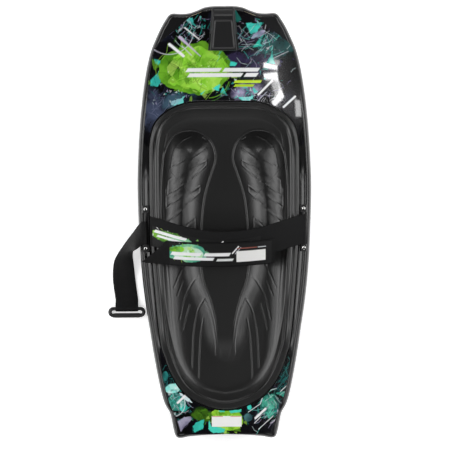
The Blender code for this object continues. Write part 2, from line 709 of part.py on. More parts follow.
def build_thigh_strap(parts, finishes):
    end_x = STRAP_END_GAP - BAR_X
    near_x = BAR_X - 3 * LOOP_RADIUS
    seam = raised(strap_stations(near_x - LOOP_TAIL, near_x, 4), -WEBBING - GAP)
    loop = bar_loop(Vector((BAR_X, 0, BAR_Z)), LOOP_RADIUS, STRAP_WIDTH / 2, ANCHOR_Y + STRAP_SHIFT)
    arch = strap_stations(BAR_X - 1.2 * LOOP_RADIUS, end_x, 22)
    ribbon("thigh_strap", seam + loop + arch, WEBBING, finishes["webbing"], parts)
    liner = [pair for pair in raised(arch, -(WEBBING + LINER + LAY) / 2) if pair[0].x < near_x - LOOP_TAIL - LAY]
    ribbon("strap_liner", liner, LINER, finishes["neoprene"], parts)
    hinge_x = TONGUE_HINGE - BAR_X
    half = TONGUE_WIDTH / 2
    stations = []
    for step in range(18):
        x = hinge_x + GAP + (TONGUE_REACH - hinge_x - GAP) * step / 17
        stations.append((tongue_point(x, tongue_middle(x) + half), tongue_point(x, tongue_middle(x) - half)))
    ribbon("pull_tongue", stations, WEBBING, finishes["webbing"], parts)
    patch = [(a.lerp(b, PATCH_MARGIN), b.lerp(a, PATCH_MARGIN))
             for a, b in raised(stations[PATCH_FIRST:PATCH_LAST], (WEBBING + PATCH + LAY) / 2)]
    ribbon("tongue_patch", patch, PATCH, finishes["print"], parts)
    # The sewn end is cut on a slant: it runs furthest left on the tail side.
    inner_left, outer_left = hinge_x - 0.012, -BAR_X - 0.012
    stations = []
    for step in range(5):
        share = step / 4
        near_x = hinge_x + (inner_left - hinge_x) * share
        far_x = hinge_x + (outer_left - hinge_x) * share
        stations.append((tongue_point(near_x, tongue_middle(near_x) + half),
                         tongue_point(far_x, tongue_middle(far_x) - half)))
    ribbon("tongue_root", stations, WEBBING, finishes["webbing"], parts)


# The ring strap from the bar down over the rail to the floor: for each edge, distance outboard of the bar,
# Y from the bracket's middle, and height as a share of the loop's top above the floor.
RING_STRAP_PATH = (
    ((0.006, 0.022, 1.00), (0.006, -0.046, 1.00)),
    ((0.014, 0.018, 0.96), (0.012, -0.049, 1.02)),
    ((0.024, 0.008, 0.80), (0.019, -0.055, 1.06)),
    ((0.038, -0.010, 0.60), (0.028, -0.061, 1.07)),
    ((0.056, -0.032, 0.38), (0.034, -0.064, 0.97)),
    ((0.073, -0.054, 0.17), (0.038, -0.067, 0.78)),
    ((0.088, -0.075, 0.03), (0.040, -0.073, 0.54)),
    ((0.098, -0.094, 0.00), (0.041, -0.084, 0.34)),
    ((0.102, -0.116, 0.00), (0.039, -0.106, 0.17)),
    ((0.103, -0.148, 0.00), (0.036, -0.141, 0.04)),
    ((0.100, -0.180, 0.01), (0.032, -0.176, 0.01)),
)
DRAPE_HINGE = 3           # station at which the strap is split, over the top of the rail
RING_X = -BAR_X - 0.061
RING_Y = ANCHOR_Y - 0.2395
RING_Z = RING_LOOP_RADIUS + WEBBING / 2 + GAP


def build_ring_strap(parts, finishes):
    floor_z = WEBBING / 2 + GAP
    top = BAR_Z + LOOP_RADIUS
    middle = ANCHOR_Y - 0.012
    half = RING_STRAP_WIDTH / 2
    loop = bar_loop(Vector((-BAR_X, 0, BAR_Z)), LOOP_RADIUS, half, middle)

    def edge(side):
        points = []
        for pair in RING_STRAP_PATH:
            out, y, share = pair[side]
            points.append(Vector((-BAR_X - out, ANCHOR_Y + y, floor_z + (top - floor_z) * share)))
        return through(points, 2)

    drape = list(zip(edge(0), edge(1)))
    ribbon("ring_strap_loop", loop + drape[:DRAPE_HINGE + 1], WEBBING, finishes["webbing"], parts)
    split = drape[DRAPE_HINGE:]
    split[0] = tuple(point.lerp(split[1][side], 0.12) for side, point in enumerate(split[0]))
    end = []
    for share in (0.45, 0.8, 1.0):
        z = floor_z + (RING_Z + RING_LOOP_RADIUS - floor_z) * smoothstep(share)
        y = RING_Y + 0.05 * (1 - share)
        end.append((Vector((RING_X - half, y, z)), Vector((RING_X + half, y, z))))
    for step in range(1, 9):
        angle = math.pi / 2 + math.pi * step / 8
        y = RING_Y + RING_LOOP_RADIUS * math.cos(angle)
        z = RING_Z + RING_LOOP_RADIUS * math.sin(angle)
        end.append((Vector((RING_X - half, y, z)), Vector((RING_X + half, y, z))))
    for run in (0.006, LOOP_TAIL):
        end.append((Vector((RING_X - half, RING_Y + run, floor_z)), Vector((RING_X + half, RING_Y + run, floor_z))))
    ribbon("ring_strap", split + end, WEBBING, finishes["webbing"], parts)


def build_ring(parts, cutters, finishes):
    """An oblong loop: a round bar in the webbing, two bent sides and a broad lip that the tongue pulls against."""
    curve = bpy.data.curves.new("strap_ring", "CURVE")
    curve.dimensions = "3D"
    curve.bevel_depth = RING_BAR
    curve.bevel_resolution = 2
    spline = curve.splines.new("POLY")
    half, depth, corner = RING_WIDTH / 2 - RING_BAR, RING_DEPTH - 2 * RING_BAR, RING_CORNER
    centres = ((half - corner, -corner), (half - corner, corner - depth), (corner - half, corner - depth),
               (corner - half, -corner))
    points = []
    for quarter, (cx, cy) in enumerate(centres):
        for step in range(5):
            angle = math.pi / 2 - quarter * math.pi / 2 - step * math.pi / 8
            points.append((cx + corner * math.cos(angle), cy + corner * math.sin(angle), 0.0))
    spline.points.add(len(points) - 1)
    for target, point in zip(spline.points, points):
        target.co = (*point, 1.0)
    spline.use_cyclic_u = True
    loop = bpy.data.objects.new("ring_curve", curve)
    parts.objects.link(loop)
    loop.location = (RING_X, RING_Y, RING_Z)
    bpy.context.view_layer.update()
    mesh = bpy.data.meshes.new_from_object(loop.evaluated_get(bpy.context.evaluated_depsgraph_get()))
    ring = put("strap_ring", mesh, finishes["nylon"], parts)
    ring.matrix_world = loop.matrix_world
    bpy.data.objects.remove(loop)
    lip = box("ring_lip", RING_LIP, (RING_X, RING_Y - depth, GAP + RING_LIP[2] / 2), None, cutters)
    rounding = lip.modifiers.new("round", "BEVEL")
    rounding.width = 0.003
    rounding.segments = 2
    boolean(ring, lip, "UNION", cutters)


# ---------------------------------------------------------------- tow hook

def build_hook(parts, cutters, finishes, cut_from):
    """A tapering block screwed to the nose, undercut from behind so that a tow handle's bar slips under it."""
    rear_y = HALF_LENGTH - HOOK_REAR
    front_y = rear_y + HOOK_LENGTH
    facets = sorted((ring[0].y, deck_z(0, ring[0].y)) for ring in [*FILM_RINGS, RAIL_TOP])
    slope = math.atan2(read_table(facets, front_y) - read_table(facets, rear_y), HOOK_LENGTH)
    turn = Matrix.Rotation(slope, 3, "X")
    lowest = Vector((0, rear_y, read_table(facets, rear_y)))
    rows = [rear_y + HOOK_LENGTH * share for share in (0.0, 0.25, 0.5, 0.75, 1.0)]
    humps = [(read_table(facets, y) - lowest.z) * math.cos(slope) - (y - rear_y) * math.sin(slope) for y in rows]
    origin = lowest + turn @ Vector((0, 0, max(humps) + FILM + 2 * GAP))
    block = box("tow_hook", (1, 1, 1), (0, 0, 0), finishes["nylon"], parts)
    for vert in block.data.vertices:
        rear, upper = vert.co.y < 0, vert.co.z > 0
        if upper:
            width = HOOK_TOP_REAR_WIDTH if rear else HOOK_TOP_FRONT_WIDTH
            place = (0.010, HOOK_HEIGHT) if rear else (HOOK_LENGTH - 0.022, HOOK_FRONT_HEIGHT)
        else:
            width = HOOK_REAR_WIDTH if rear else HOOK_FRONT_WIDTH
            place = (0.0, 0.0) if rear else (HOOK_LENGTH, 0.0)
        vert.co = (math.copysign(width / 2, vert.co.x), *place)
    block.location = origin
    block.rotation_euler = turn.to_euler()
    rounding = block.modifiers.new("round", "BEVEL")
    rounding.width = 0.0025
    rounding.segments = 2
    slot = box("hook_slot", (2 * HOOK_REAR_WIDTH, 2 * HOOK_SLOT_DEPTH, HOOK_SLOT_HEIGHT - HOOK_BASE), (0, 0, 0), None,
               cutters)
    slot.location = origin + turn @ Vector((0, 0, (HOOK_SLOT_HEIGHT + HOOK_BASE) / 2))
    slot.rotation_euler = turn.to_euler()
    slot_round = slot.modifiers.new("round", "BEVEL")
    slot_round.width = 0.010
    slot_round.segments = 4
    boolean(block, slot, "DIFFERENCE", cutters)
    for side, name in ((-1, "hook_left"), (1, "hook_right")):
        seat = origin + turn @ Vector((side * HOOK_SCREW_SPACING / 2, HOOK_LENGTH - 0.030, 0.012))
        well = cylinder(f"{name}_well", BOLT_HEAD_RADIUS + 2 * HOLE_CLEARANCE, 0.04, seat, None, cutters)
        well.rotation_euler = turn.to_euler()
        boolean(block, well, "DIFFERENCE", cutters)
        bolt_hole(block, seat, turn, cutters, f"{name}_hole")
        fastener(name, seat, turn, 0.012 + 2 * GAP, parts, cutters, finishes, cut_from, washer=False)


# ---------------------------------------------------------------- the whole

def main():
    for obj in list(bpy.data.objects):
        bpy.data.objects.remove(obj)
    parts = new_collection("kneeboard")
    cutters = new_collection("cutters")
    finishes = {
        "shell": material("gloss_shell", (0.012, 0.012, 0.013), 0.22),
        "foam": material("polyurethane_foam", (0.62, 0.55, 0.36), 0.95),
        "eva": material("eva_foam", (0.022, 0.022, 0.022), 0.75),
        "print": material("printed_film", (0.06, 0.20, 0.15), 0.12),
        "nylon": material("moulded_nylon", (0.018, 0.018, 0.018), 0.45),
        "steel": material("stainless_steel", (0.62, 0.62, 0.60), 0.28, 1.0),
        "brass": material("brass", (0.75, 0.55, 0.25), 0.35, 1.0),
        "webbing": material("nylon_webbing", (0.020, 0.020, 0.021), 0.85),
        "neoprene": material("neoprene", (0.010, 0.010, 0.010), 0.90),
        "label": material("blank_label", (0.80, 0.80, 0.78), 0.40),
    }
    deck, core = build_shells(parts, cutters, finishes)
    build_pad(parts, finishes)
    nose_film = build_films(parts, finishes)
    for side in (-1, 1):
        build_bracket(side, parts, cutters, finishes, (deck, core))
    build_hook(parts, cutters, finishes, (deck, core, nose_film))
    build_thigh_strap(parts, finishes)
    build_ring_strap(parts, finishes)
    build_ring(parts, cutters, finishes)


main()
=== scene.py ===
import math
from functools import partial

import bpy
import numpy as np
from mathutils import Matrix, Vector


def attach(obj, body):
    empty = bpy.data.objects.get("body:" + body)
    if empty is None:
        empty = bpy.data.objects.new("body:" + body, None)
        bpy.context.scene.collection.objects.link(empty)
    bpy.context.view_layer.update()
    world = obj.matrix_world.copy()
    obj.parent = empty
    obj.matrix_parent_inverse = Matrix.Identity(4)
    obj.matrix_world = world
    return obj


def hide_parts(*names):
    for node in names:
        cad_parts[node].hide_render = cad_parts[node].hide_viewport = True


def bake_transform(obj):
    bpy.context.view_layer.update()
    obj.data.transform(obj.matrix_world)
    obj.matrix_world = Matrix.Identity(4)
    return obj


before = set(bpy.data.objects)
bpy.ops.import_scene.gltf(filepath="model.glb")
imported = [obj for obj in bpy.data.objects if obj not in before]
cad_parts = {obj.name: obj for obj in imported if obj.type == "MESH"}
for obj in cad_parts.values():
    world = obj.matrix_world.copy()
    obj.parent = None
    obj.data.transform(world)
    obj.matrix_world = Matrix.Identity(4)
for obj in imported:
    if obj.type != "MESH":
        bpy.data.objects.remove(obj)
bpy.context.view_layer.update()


# Board shape, in metres, the same sizes as the solid model

board = {
    "halfLength": 0.6375, "halfWidth": 0.2585, "poleY": -0.0204,
    "railHeight": 0.052, "deckRise": 0.030, "railRound": 0.015,
    "noseRocker": 0.066, "noseStart": 0.20, "tailRocker": 0.022, "tailStart": -0.30,
    "noseThinning": 0.012, "noseCrown": 0.010,
}
boardOutline = (
    (0.000, 1.000), (0.116, 1.000), (0.217, 0.994), (0.302, 0.980), (0.387, 0.969), (0.480, 0.966),
    (0.575, 0.968), (0.622, 0.960), (0.658, 0.940), (0.712, 0.905), (0.774, 0.853), (0.832, 0.797),
    (0.880, 0.722), (0.921, 0.627), (0.954, 0.518), (0.977, 0.408), (0.992, 0.298), (1.000, 0.188),
    (0.996, 0.078), (0.986, -0.031), (0.973, -0.141), (0.948, -0.267), (0.913, -0.384), (0.870, -0.494),
    (0.828, -0.604), (0.778, -0.714), (0.731, -0.800), (0.692, -0.847), (0.642, -0.882), (0.619, -0.918),
    (0.599, -0.960), (0.572, -0.992), (0.520, -1.000), (0.418, -0.993), (0.232, -0.987), (0.000, -0.984),
)
padOutline = (
    (0.000, 1.000), (0.450, 0.996), (0.690, 0.958), (0.800, 0.924), (0.885, 0.884), (0.950, 0.829),
    (0.991, 0.734), (1.000, 0.635), (1.000, 0.326), (0.984, 0.105), (0.966, -0.034), (0.921, -0.296),
    (0.892, -0.446), (0.854, -0.581), (0.818, -0.638), (0.764, -0.717), (0.688, -0.797), (0.589, -0.869),
    (0.445, -0.932), (0.283, -0.971), (0.112, -0.995), (0.000, -1.000),
)
pad = {"front": 0.3555, "back": -0.5515, "halfWidth": 0.2225, "proud": 0.005,
       "kneeDepth": 0.044, "footDepth": 0.011, "plateauDepth": 0.004}
pad["middle"] = (pad["front"] + pad["back"]) / 2
pad["halfLength"] = (pad["front"] - pad["back"]) / 2
pole = np.array([0.0, board["poleY"]])


def ease(t):
    t = np.clip(t, 0.0, 1.0)
    return t * t * (3 - 2 * t)


def throughPoints(points, steps):
    p = np.array(points, float)
    p = np.vstack([2 * p[0] - p[1], p, 2 * p[-1] - p[-2]])
    t = (np.arange(steps) / steps)[:, None]
    runs = []
    for a, b, c, d in zip(p, p[1:], p[2:], p[3:]):
        bend, twist = 2 * a - 5 * b + 4 * c - d, 3 * b - a - 3 * c + d
        runs.append(0.5 * (2 * b + (c - a) * t + bend * t ** 2 + twist * t ** 3))
    return np.vstack([*runs, p[-2]])


def evenly(points, count):
    p = np.array(points, float)
    gone = np.concatenate([[0], np.cumsum(np.linalg.norm(np.diff(p, axis=0), axis=1))])
    places = np.linspace(0, gone[-1], count)
    return np.stack([np.interp(places, gone, p[:, k]) for k in range(p.shape[1])], axis=1)


def closedLoop(half, count):
    right = throughPoints(half, 8)
    left = right * [-1, 1]
    loop = np.vstack([left, right[::-1][1:]])
    return evenly(loop, count + 1)[:-1]


def reachAlong(outline, spokes, closed=True):
    a = outline
    b = np.roll(outline, -1, axis=0)
    if not closed:
        a, b = outline[:-1], outline[1:]
    far = np.zeros(len(spokes))
    for i, spoke in enumerate(spokes):
        across = np.array([-spoke[1], spoke[0]])
        sideA, sideB = (a - pole) @ across, (b - pole) @ across
        cross = sideA * sideB <= 0
        share = np.where(cross, sideA / np.where(sideA == sideB, 1, sideA - sideB), 0)
        hits = ((a - pole) + (b - a) * share[:, None]) @ spoke
        good = hits[cross & (hits > 0)]
        far[i] = good.max() if len(good) else 0
    return far


def inset(ring, distance):
    along = np.roll(ring, -1, axis=0) - np.roll(ring, 1, axis=0)
    outward = np.stack([along[:, 1], -along[:, 0]], axis=1)
    outward /= np.linalg.norm(outward, axis=1)[:, None]
    spoke = ring - pole
    spoke /= np.linalg.norm(spoke, axis=1)[:, None]
    slant = np.maximum(0.55, np.sum(outward * spoke, axis=1))
    return ring - spoke * (distance / slant)[:, None]


def keel(y):
    nose = np.maximum(0, (y - board["noseStart"]) / (board["halfLength"] - board["noseStart"]))
    tail = np.maximum(0, (board["tailStart"] - y) / (board["halfLength"] + board["tailStart"]))
    return board["noseRocker"] * nose ** 2 + board["tailRocker"] * tail ** 2


def railLine(y):
    nose = np.maximum(0, (y - board["noseStart"]) / (board["halfLength"] - board["noseStart"]))
    return keel(y) + board["railHeight"] - board["noseThinning"] * nose ** 2


def deckHeight(x, y):
    crown = board["noseCrown"] * ease((y / board["halfLength"] - 0.3) / 0.4)
    return railLine(y) + board["deckRise"] + crown * (1 - np.minimum(1, np.abs(x) / board["halfWidth"]) ** 2)


def insideDistance(points, outline):
    best = np.full(len(points), 1e9)
    inside = np.zeros(len(points), bool)
    for a, b in zip(outline, np.roll(outline, -1, axis=0)):
        edge = b - a
        share = np.clip(((points - a) @ edge) / max(edge @ edge, 1e-12), 0, 1)
        best = np.minimum(best, np.linalg.norm(points - a - share[:, None] * edge, axis=1))
        above = (a[1] > points[:, 1]) != (b[1] > points[:, 1])
        rise = edge[1] if edge[1] else 1e-12
        inside ^= above & (points[:, 0] < a[0] + (points[:, 1] - a[1]) * edge[0] / rise)
    return np.where(inside, best, -best)


def lineDistance(points, line):
    best = np.full(len(points), 1e9)
    for a, b in zip(line, line[1:]):
        edge = b - a
        share = np.clip(((points - a) @ edge) / max(edge @ edge, 1e-12), 0, 1)
        best = np.minimum(best, np.linalg.norm(points - a - share[:, None] * edge, axis=1))
    return best


def speckle(points, size, seed):
    place = points / size + seed * 17.3
    cell = np.floor(place)
    part = ease(place - cell)

    def corner(dx, dy):
        value = np.sin((cell[:, 0] + dx) * 127.1 + (cell[:, 1] + dy) * 311.7 + seed * 74.7) * 43758.5453
        return value - np.floor(value)

    low = corner(0, 0) * (1 - part[:, 0]) + corner(1, 0) * part[:, 0]
    high = corner(0, 1) * (1 - part[:, 0]) + corner(1, 1) * part[:, 0]
    return low * (1 - part[:, 1]) + high * part[:, 1]


def clouds(points, size, seed):
    return sum(speckle(points, size / 2 ** k, seed + k) / 2 ** k for k in range(4)) / 1.875


# Meshes and finishes


def closeMesh(fillHoles=False):
    bpy.ops.object.mode_set(mode="EDIT")
    bpy.ops.mesh.select_all(action="SELECT")
    bpy.ops.mesh.remove_doubles(threshold=0.000001)
    if fillHoles:
        bpy.ops.mesh.select_all(action="DESELECT")
        bpy.ops.mesh.select_non_manifold()
        bpy.ops.mesh.fill_holes(sides=0)
        bpy.ops.mesh.select_all(action="SELECT")
    bpy.ops.mesh.normals_make_consistent(inside=False)
    bpy.ops.object.mode_set(mode="OBJECT")


def gridPiece(name, rows, merge=False):
    rows = np.asarray(rows, float)
    down, across = rows.shape[:2]
    bpy.ops.mesh.primitive_grid_add(x_subdivisions=across - 1, y_subdivisions=down - 1, size=1)
    piece = bpy.context.object
    piece.name = piece.data.name = name
    piece.data.vertices.foreach_set("co", rows.reshape(-1))
    piece.data.update()
    if merge:
        closeMesh()
    piece.data.shade_smooth()
    return piece


def bandPiece(name, left, right, section, sharp=45):
    # left and right are the band's edges; section is a loop of (share across, offset along the normal)
    left, right = np.array(left), np.array(right)
    middle = (left + right) / 2
    along = np.gradient(middle, axis=0)
    across = right - left
    normal = np.cross(across, along)
    normal /= np.linalg.norm(normal, axis=1)[:, None]
    loop = [*section, section[0]]
    rows = np.stack([left + across * share + normal * lift for share, lift in loop], axis=1)
    caps = [np.repeat(rows[k].mean(axis=0)[None], len(loop), axis=0) for k in (0, -1)]
    rows = np.concatenate([caps[0][None], rows, caps[1][None]])
    piece = gridPiece(name, rows, merge=True)
    width = float(np.linalg.norm(across, axis=1).mean())
    gone = np.concatenate([[0], np.cumsum(np.linalg.norm(np.diff(middle, axis=0), axis=1))])
    gone = np.concatenate([[0], gone, [gone[-1]]])
    layer = piece.data.uv_layers[0].data
    uv = np.zeros(len(layer) * 2)
    layer.foreach_get("uv", uv)
    uv = uv.reshape(-1, 2)
    shares = np.array([share for share, _ in loop])
    places = np.clip(uv[:, 0] * (len(loop) - 1), 0, len(loop) - 1)
    uv[:, 0] = np.interp(places, np.arange(len(loop)), shares) * width
    uv[:, 1] = np.interp(uv[:, 1] * (len(gone) - 1), np.arange(len(gone)), gone)
    layer.foreach_set("uv", uv.reshape(-1))
    piece.data.set_sharp_from_angle(angle=math.radians(sharp))
    return piece


def flatSection(thickness, columns=8, crown=0.0):
    half = thickness / 2
    shares = np.linspace(0.0, 1.0, columns)
    lifts = [half * (0.55 if s in (0.0, 1.0) else 1.0) + crown * math.sin(math.pi * s) ** 0.6 for s in shares]
    top = list(zip(shares, lifts))
    bottom = [(s, -lift) for s, lift in top[::-1]]
    return top + bottom


def linear(hexColor):
    parts = [int(hexColor[k:k + 2], 16) / 255 for k in (1, 3, 5)]
    return tuple(c / 12.92 if c <= 0.04045 else ((c + 0.055) / 1.055) ** 2.4 for c in parts)


def newFinish(name, color, roughness, **sockets):
    made = bpy.data.materials.new(name)
    made.use_nodes = True
    shader = made.node_tree.nodes["Principled BSDF"]
    shader.inputs["Base Color"].default_value = (*linear(color), 1)
    shader.inputs["Roughness"].default_value = roughness
    for socket, value in sockets.items():
        shader.inputs[socket.replace("_", " ")].default_value = value
    return made


def addNode(finish, kind, links=(), **values):
    node = finish.node_tree.nodes.new(kind)
    for key, value in values.items():
        if hasattr(node, key):
            setattr(node, key, value)
        else:
            node.inputs[key.replace("_", " ")].default_value = value
    for socket, source in links:
        finish.node_tree.links.new(source, node.inputs[socket])
    return node


def feedShader(finish, socket, output):
    finish.node_tree.links.new(output, finish.node_tree.nodes["Principled BSDF"].inputs[socket])


def addGrain(finish, size, height, detail=2.0):
    place = addNode(finish, "ShaderNodeTexCoord").outputs["Object"]
    noise = addNode(finish, "ShaderNodeTexNoise", [("Vector", place)], Scale=1 / size, Detail=detail)
    bump = addNode(finish, "ShaderNodeBump", [("Height", noise.outputs["Fac"])], Distance=height)
    feedShader(finish, "Normal", bump.outputs["Normal"])


def addWeave(finish, pitch, height):
    place = addNode(finish, "ShaderNodeTexCoord").outputs["UV"]
    bands = []
    for direction in ("X", "Y"):
        bands.append(addNode(finish, "ShaderNodeTexWave", [("Vector", place)], bands_direction=direction,
                             Scale=0.314 / pitch))
    both = addNode(finish, "ShaderNodeMath", [(0, bands[0].outputs["Fac"]), (1, bands[1].outputs["Fac"])],
                   operation="MULTIPLY")
    bump = addNode(finish, "ShaderNodeBump", [("Height", both.outputs[0])], Distance=height)
    feedShader(finish, "Normal", bump.outputs["Normal"])


def addPaint(finish):
    paint = addNode(finish, "ShaderNodeAttribute", attribute_name="paint")
    feedShader(finish, "Base Color", paint.outputs["Color"])


# moulded polyethylene: near black and smooth, with broad soft highlights along the rails
shellFinish = newFinish("mouldedShell", "#0f0f10", 0.26, Specular_IOR_Level=0.42, Coat_Weight=0.20,
                        Coat_Roughness=0.08)
addGrain(shellFinish, 0.0012, 0.00002)
# closed-cell EVA: matt, with the faint skin sheen that shows the ridges
evaFinish = newFinish("evaFoam", "#151515", 0.32, Specular_IOR_Level=0.62)
addGrain(evaFinish, 0.0006, 0.00004)
# printed film under a clear gloss layer: sharp reflections over the colors
filmFinish = newFinish("printedFilm", "#0b0b0e", 0.16, Coat_Weight=1.0, Coat_Roughness=0.03)
addPaint(filmFinish)
# glass-filled nylon: satin, lighter on its edges
nylonFinish = newFinish("mouldedNylon", "#1a1a1b", 0.34)
addGrain(nylonFinish, 0.0008, 0.00003)
# knitted face over neoprene: soft dark grey
neopreneFinish = newFinish("neopreneFace", "#0d0d0e", 0.85, Specular_IOR_Level=0.3)
addWeave(neopreneFinish, 0.0016, 0.00012)
# nylon webbing: near black with a fine rib across
webbingFinish = newFinish("nylonWebbing", "#050506", 0.62, Specular_IOR_Level=0.22)
addWeave(webbingFinish, 0.0022, 0.00025)
# woven patch with a printed face: matt colors on black
patchFinish = newFinish("wovenPatch", "#060607", 0.60, Specular_IOR_Level=0.3)
addPaint(patchFinish)
# stainless steel: small bright heads
steelFinish = newFinish("stainlessSteel", "#c4c4c2", 0.22, Metallic=1.0)
# coated paper: plain and white
labelFinish = newFinish("blankLabel", "#f4f4f2", 0.35)
addPaint(labelFinish)


def wear(piece, finish):
    piece.data.materials.clear()
    piece.data.materials.append(finish)
    return piece


def fit(piece, slot, body, *nodes):
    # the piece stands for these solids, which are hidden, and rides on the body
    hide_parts(*nodes)
    if body:
        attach(piece, body)


# Shells

rail = closedLoop([(x * board["halfWidth"], y * board["halfLength"]) for x, y in boardOutline], 560)
railSpokes = (rail - pole) / np.linalg.norm(rail - pole, axis=1)[:, None]
padHalf = [(x * pad["halfWidth"], pad["middle"] + y * pad["halfLength"]) for x, y in padOutline]
padEdge = closedLoop(padHalf, 400)
padRing = pole + railSpokes * reachAlong(padEdge, railSpokes)[:, None]


def withHeight(ring, height):
    height = np.broadcast_to(height, len(ring))
    return np.column_stack([ring, height])


def poleRow(z):
    return np.tile([*pole, z], (len(rail), 1))


def closeRows(rows):
    return np.stack([np.vstack([row, row[:1]]) for row in rows])


# capLift and hullCapLift keep the unseen inner faces just above the bottom
deckShell = {
    "seam": 0.0012, "roundSteps": 10, "lip": 0.0016, "channel": 0.0016, "rebate": 0.02,
    "padGap": 0.0014, "ledge": 0.006, "ledgeDrop": 0.0036, "wallDrop": 0.0040,
    "wellLift": 0.010, "capLift": 0.006, "hullCapLift": 0.003,
}


def bottomHeight(ring):
    share = np.linalg.norm(ring - pole, axis=1) / np.linalg.norm(rail - pole, axis=1)
    level = keel(ring[:, 1])
    return level + (railLine(ring[:, 1]) - level) * np.maximum(0, (share - 0.5) / 0.5) ** 2.6


def capRing(ring, share, above):
    inner = pole + (ring - pole) * share
    return withHeight(inner, bottomHeight(inner) + above)


def deckRing(ring, lift=0.0):
    return withHeight(ring, deckHeight(ring[:, 0], ring[:, 1]) + lift)


def railRing(distance, lift=0.0):
    ring = inset(rail, distance)
    return withHeight(ring, railLine(ring[:, 1]) + lift)


def deckRows():
    k = deckShell
    lip, under = inset(padRing, -k["padGap"]), inset(padRing, k["ledge"])
    top = inset(rail, board["railRound"])
    rows = [poleRow(k["wellLift"]), capRing(under, 0.6, k["wellLift"]), capRing(under, 1, k["wellLift"]),
            deckRing(under, -k["wallDrop"]), deckRing(lip, -k["ledgeDrop"]), deckRing(lip)]
    beside = ease((0.215 - rail[:, 1]) / 0.09) * ease((rail[:, 1] + 0.46) / 0.12)
    for share in np.linspace(0, 1, 25)[1:]:
        raised = k["lip"] * math.exp(-((share - 0.20) / 0.13) ** 2)
        raised -= k["channel"] * math.sin(math.pi * min(1, max(0, (share - 0.35) / 0.65))) ** 2
        rows.append(deckRing(lip + (top - lip) * share, raised * beside))
    for turn in np.linspace(0, math.pi / 2, k["roundSteps"] + 1)[1:]:
        rows.append(railRing(board["railRound"] * (1 - math.sin(turn)), board["deckRise"] * math.cos(turn)))
    rows[-1][:, 2] = railRing(k["seam"])[:, 2] + k["seam"]
    rows += [railRing(k["seam"]), railRing(k["rebate"])]
    rows += [capRing(rail, share, k["capLift"]) for share in (0.895, 0.80, 0.50)]
    return rows + [poleRow(k["capLift"])]


def hullRows():
    k = deckShell
    rows = [poleRow(k["hullCapLift"])]
    rows += [capRing(rail, share, k["hullCapLift"]) for share in (0.50, 0.80, 0.90)]
    rows += [railRing(k["rebate"], -0.0005), railRing(k["seam"])]
    shares = (1.0, 0.995, 0.985, 0.97, 0.95, 0.93, 0.90, 0.87, 0.83, 0.79, 0.75, 0.70, 0.65, 0.6, 0.5, 0.3)
    outside = [capRing(rail, share, 0) for share in shares]
    outside[0][:, 2] = railLine(rail[:, 1]) - k["seam"]
    return rows + outside + [poleRow(0.0)]


deck = wear(gridPiece("deckSkin", closeRows(deckRows()), merge=True), shellFinish)
deck.data.set_sharp_from_angle(angle=math.radians(50))
hull = wear(gridPiece("hullSkin", closeRows(hullRows()), merge=True), shellFinish)
hull.data.set_sharp_from_angle(angle=math.radians(50))
fit(deck, "shell", "board", "deck_shell")
fit(hull, "shell", "board", "hull_shell")
print("shells done")


# Knee pad: a moulded sheet with two deep wells, a flat plateau and raised lines

kneePad = {
    "across": 246, "along": 404,
    "edgeRound": 0.0040,
    "ridges": ((0.0092, 0.0030, 0.0026), (0.0245, 0.0022, 0.0022), (0.0440, 0.0008, 0.0020)),
    "valleyAt": 0.0165, "valley": (0.0022, 0.0040), "rimOut": 0.0026, "rim": (0.0014, 0.0020),
    "vein": (0.0013, 0.0013), "grooves": (0.0155, 0.0215), "grooveDepth": 0.0030, "grooveWidth": 0.0018,
    "wallPower": 2.0, "cutDepth": 0.0011, "cutWidth": 0.0012, "plateRise": 0.0005,
}
# the left well's rim, from the front of its head: its inner side, then its outer side, both to the tail
wellInner = (
    (-0.0930, 0.2706), (-0.0729, 0.2647), (-0.0455, 0.2440), (-0.0312, 0.2141), (-0.0292, 0.1844),
    (-0.0400, 0.1500),
    (-0.0530, 0.1100), (-0.0639, 0.0654), (-0.0715, -0.0089), (-0.0738, -0.0700), (-0.0730, -0.1309),
    (-0.0648, -0.1784), (-0.0467, -0.2290), (-0.0310, -0.2915), (-0.0245, -0.3361), (-0.0190, -0.3700),
    (-0.0080, -0.4000), (0.0000, -0.4060),
)
wellOuter = (
    (-0.0930, 0.2706), (-0.1180, 0.2690), (-0.1420, 0.2580), (-0.1660, 0.2280), (-0.1790, 0.1800),
    (-0.1850, 0.1000),
    (-0.1860, 0.0000), (-0.1830, -0.1000), (-0.1760, -0.2100), (-0.1640, -0.3100), (-0.1430, -0.3950),
    (-0.1080, -0.4570), (-0.0600, -0.4930), (0.0000, -0.5060),
)
wellDepths = ((-0.60, 0.011), (-0.42, 0.012), (-0.30, 0.017), (-0.20, 0.023), (-0.10, 0.029), (0.00, 0.034),
              (0.08, 0.038), (0.14, 0.042), (0.18, 0.043), (0.22, 0.040), (0.27, 0.032))
# thin moulded lines on the left: cut edges of the plates, and raised veins further back
wellCuts = (
    ((-0.1180, 0.1872), (-0.1591, 0.1630), (-0.1523, 0.2022), (-0.1442, 0.2266), (-0.1216, 0.2462),
     (-0.0967, 0.2573)),
    ((-0.1090, 0.1225), (-0.1704, 0.0797), (-0.1677, 0.1267), (-0.1552, 0.1350)),
    ((-0.1300, 0.0760), (-0.1746, 0.0434), (-0.1746, 0.1000)),
    ((-0.1240, 0.0400), (-0.1704, -0.0009)),
    ((-0.0497, 0.2213), (-0.0967, 0.1880)),
    ((-0.0996, 0.1600), (-0.0523, 0.1850), (-0.0523, 0.1713), (-0.0940, 0.1323)),
    ((-0.1010, 0.0890), (-0.0705, 0.1100), (-0.0717, 0.0907), (-0.1110, 0.0560)),
    ((-0.1120, -0.0080), (-0.0857, 0.0170), (-0.0857, -0.0120)),
)
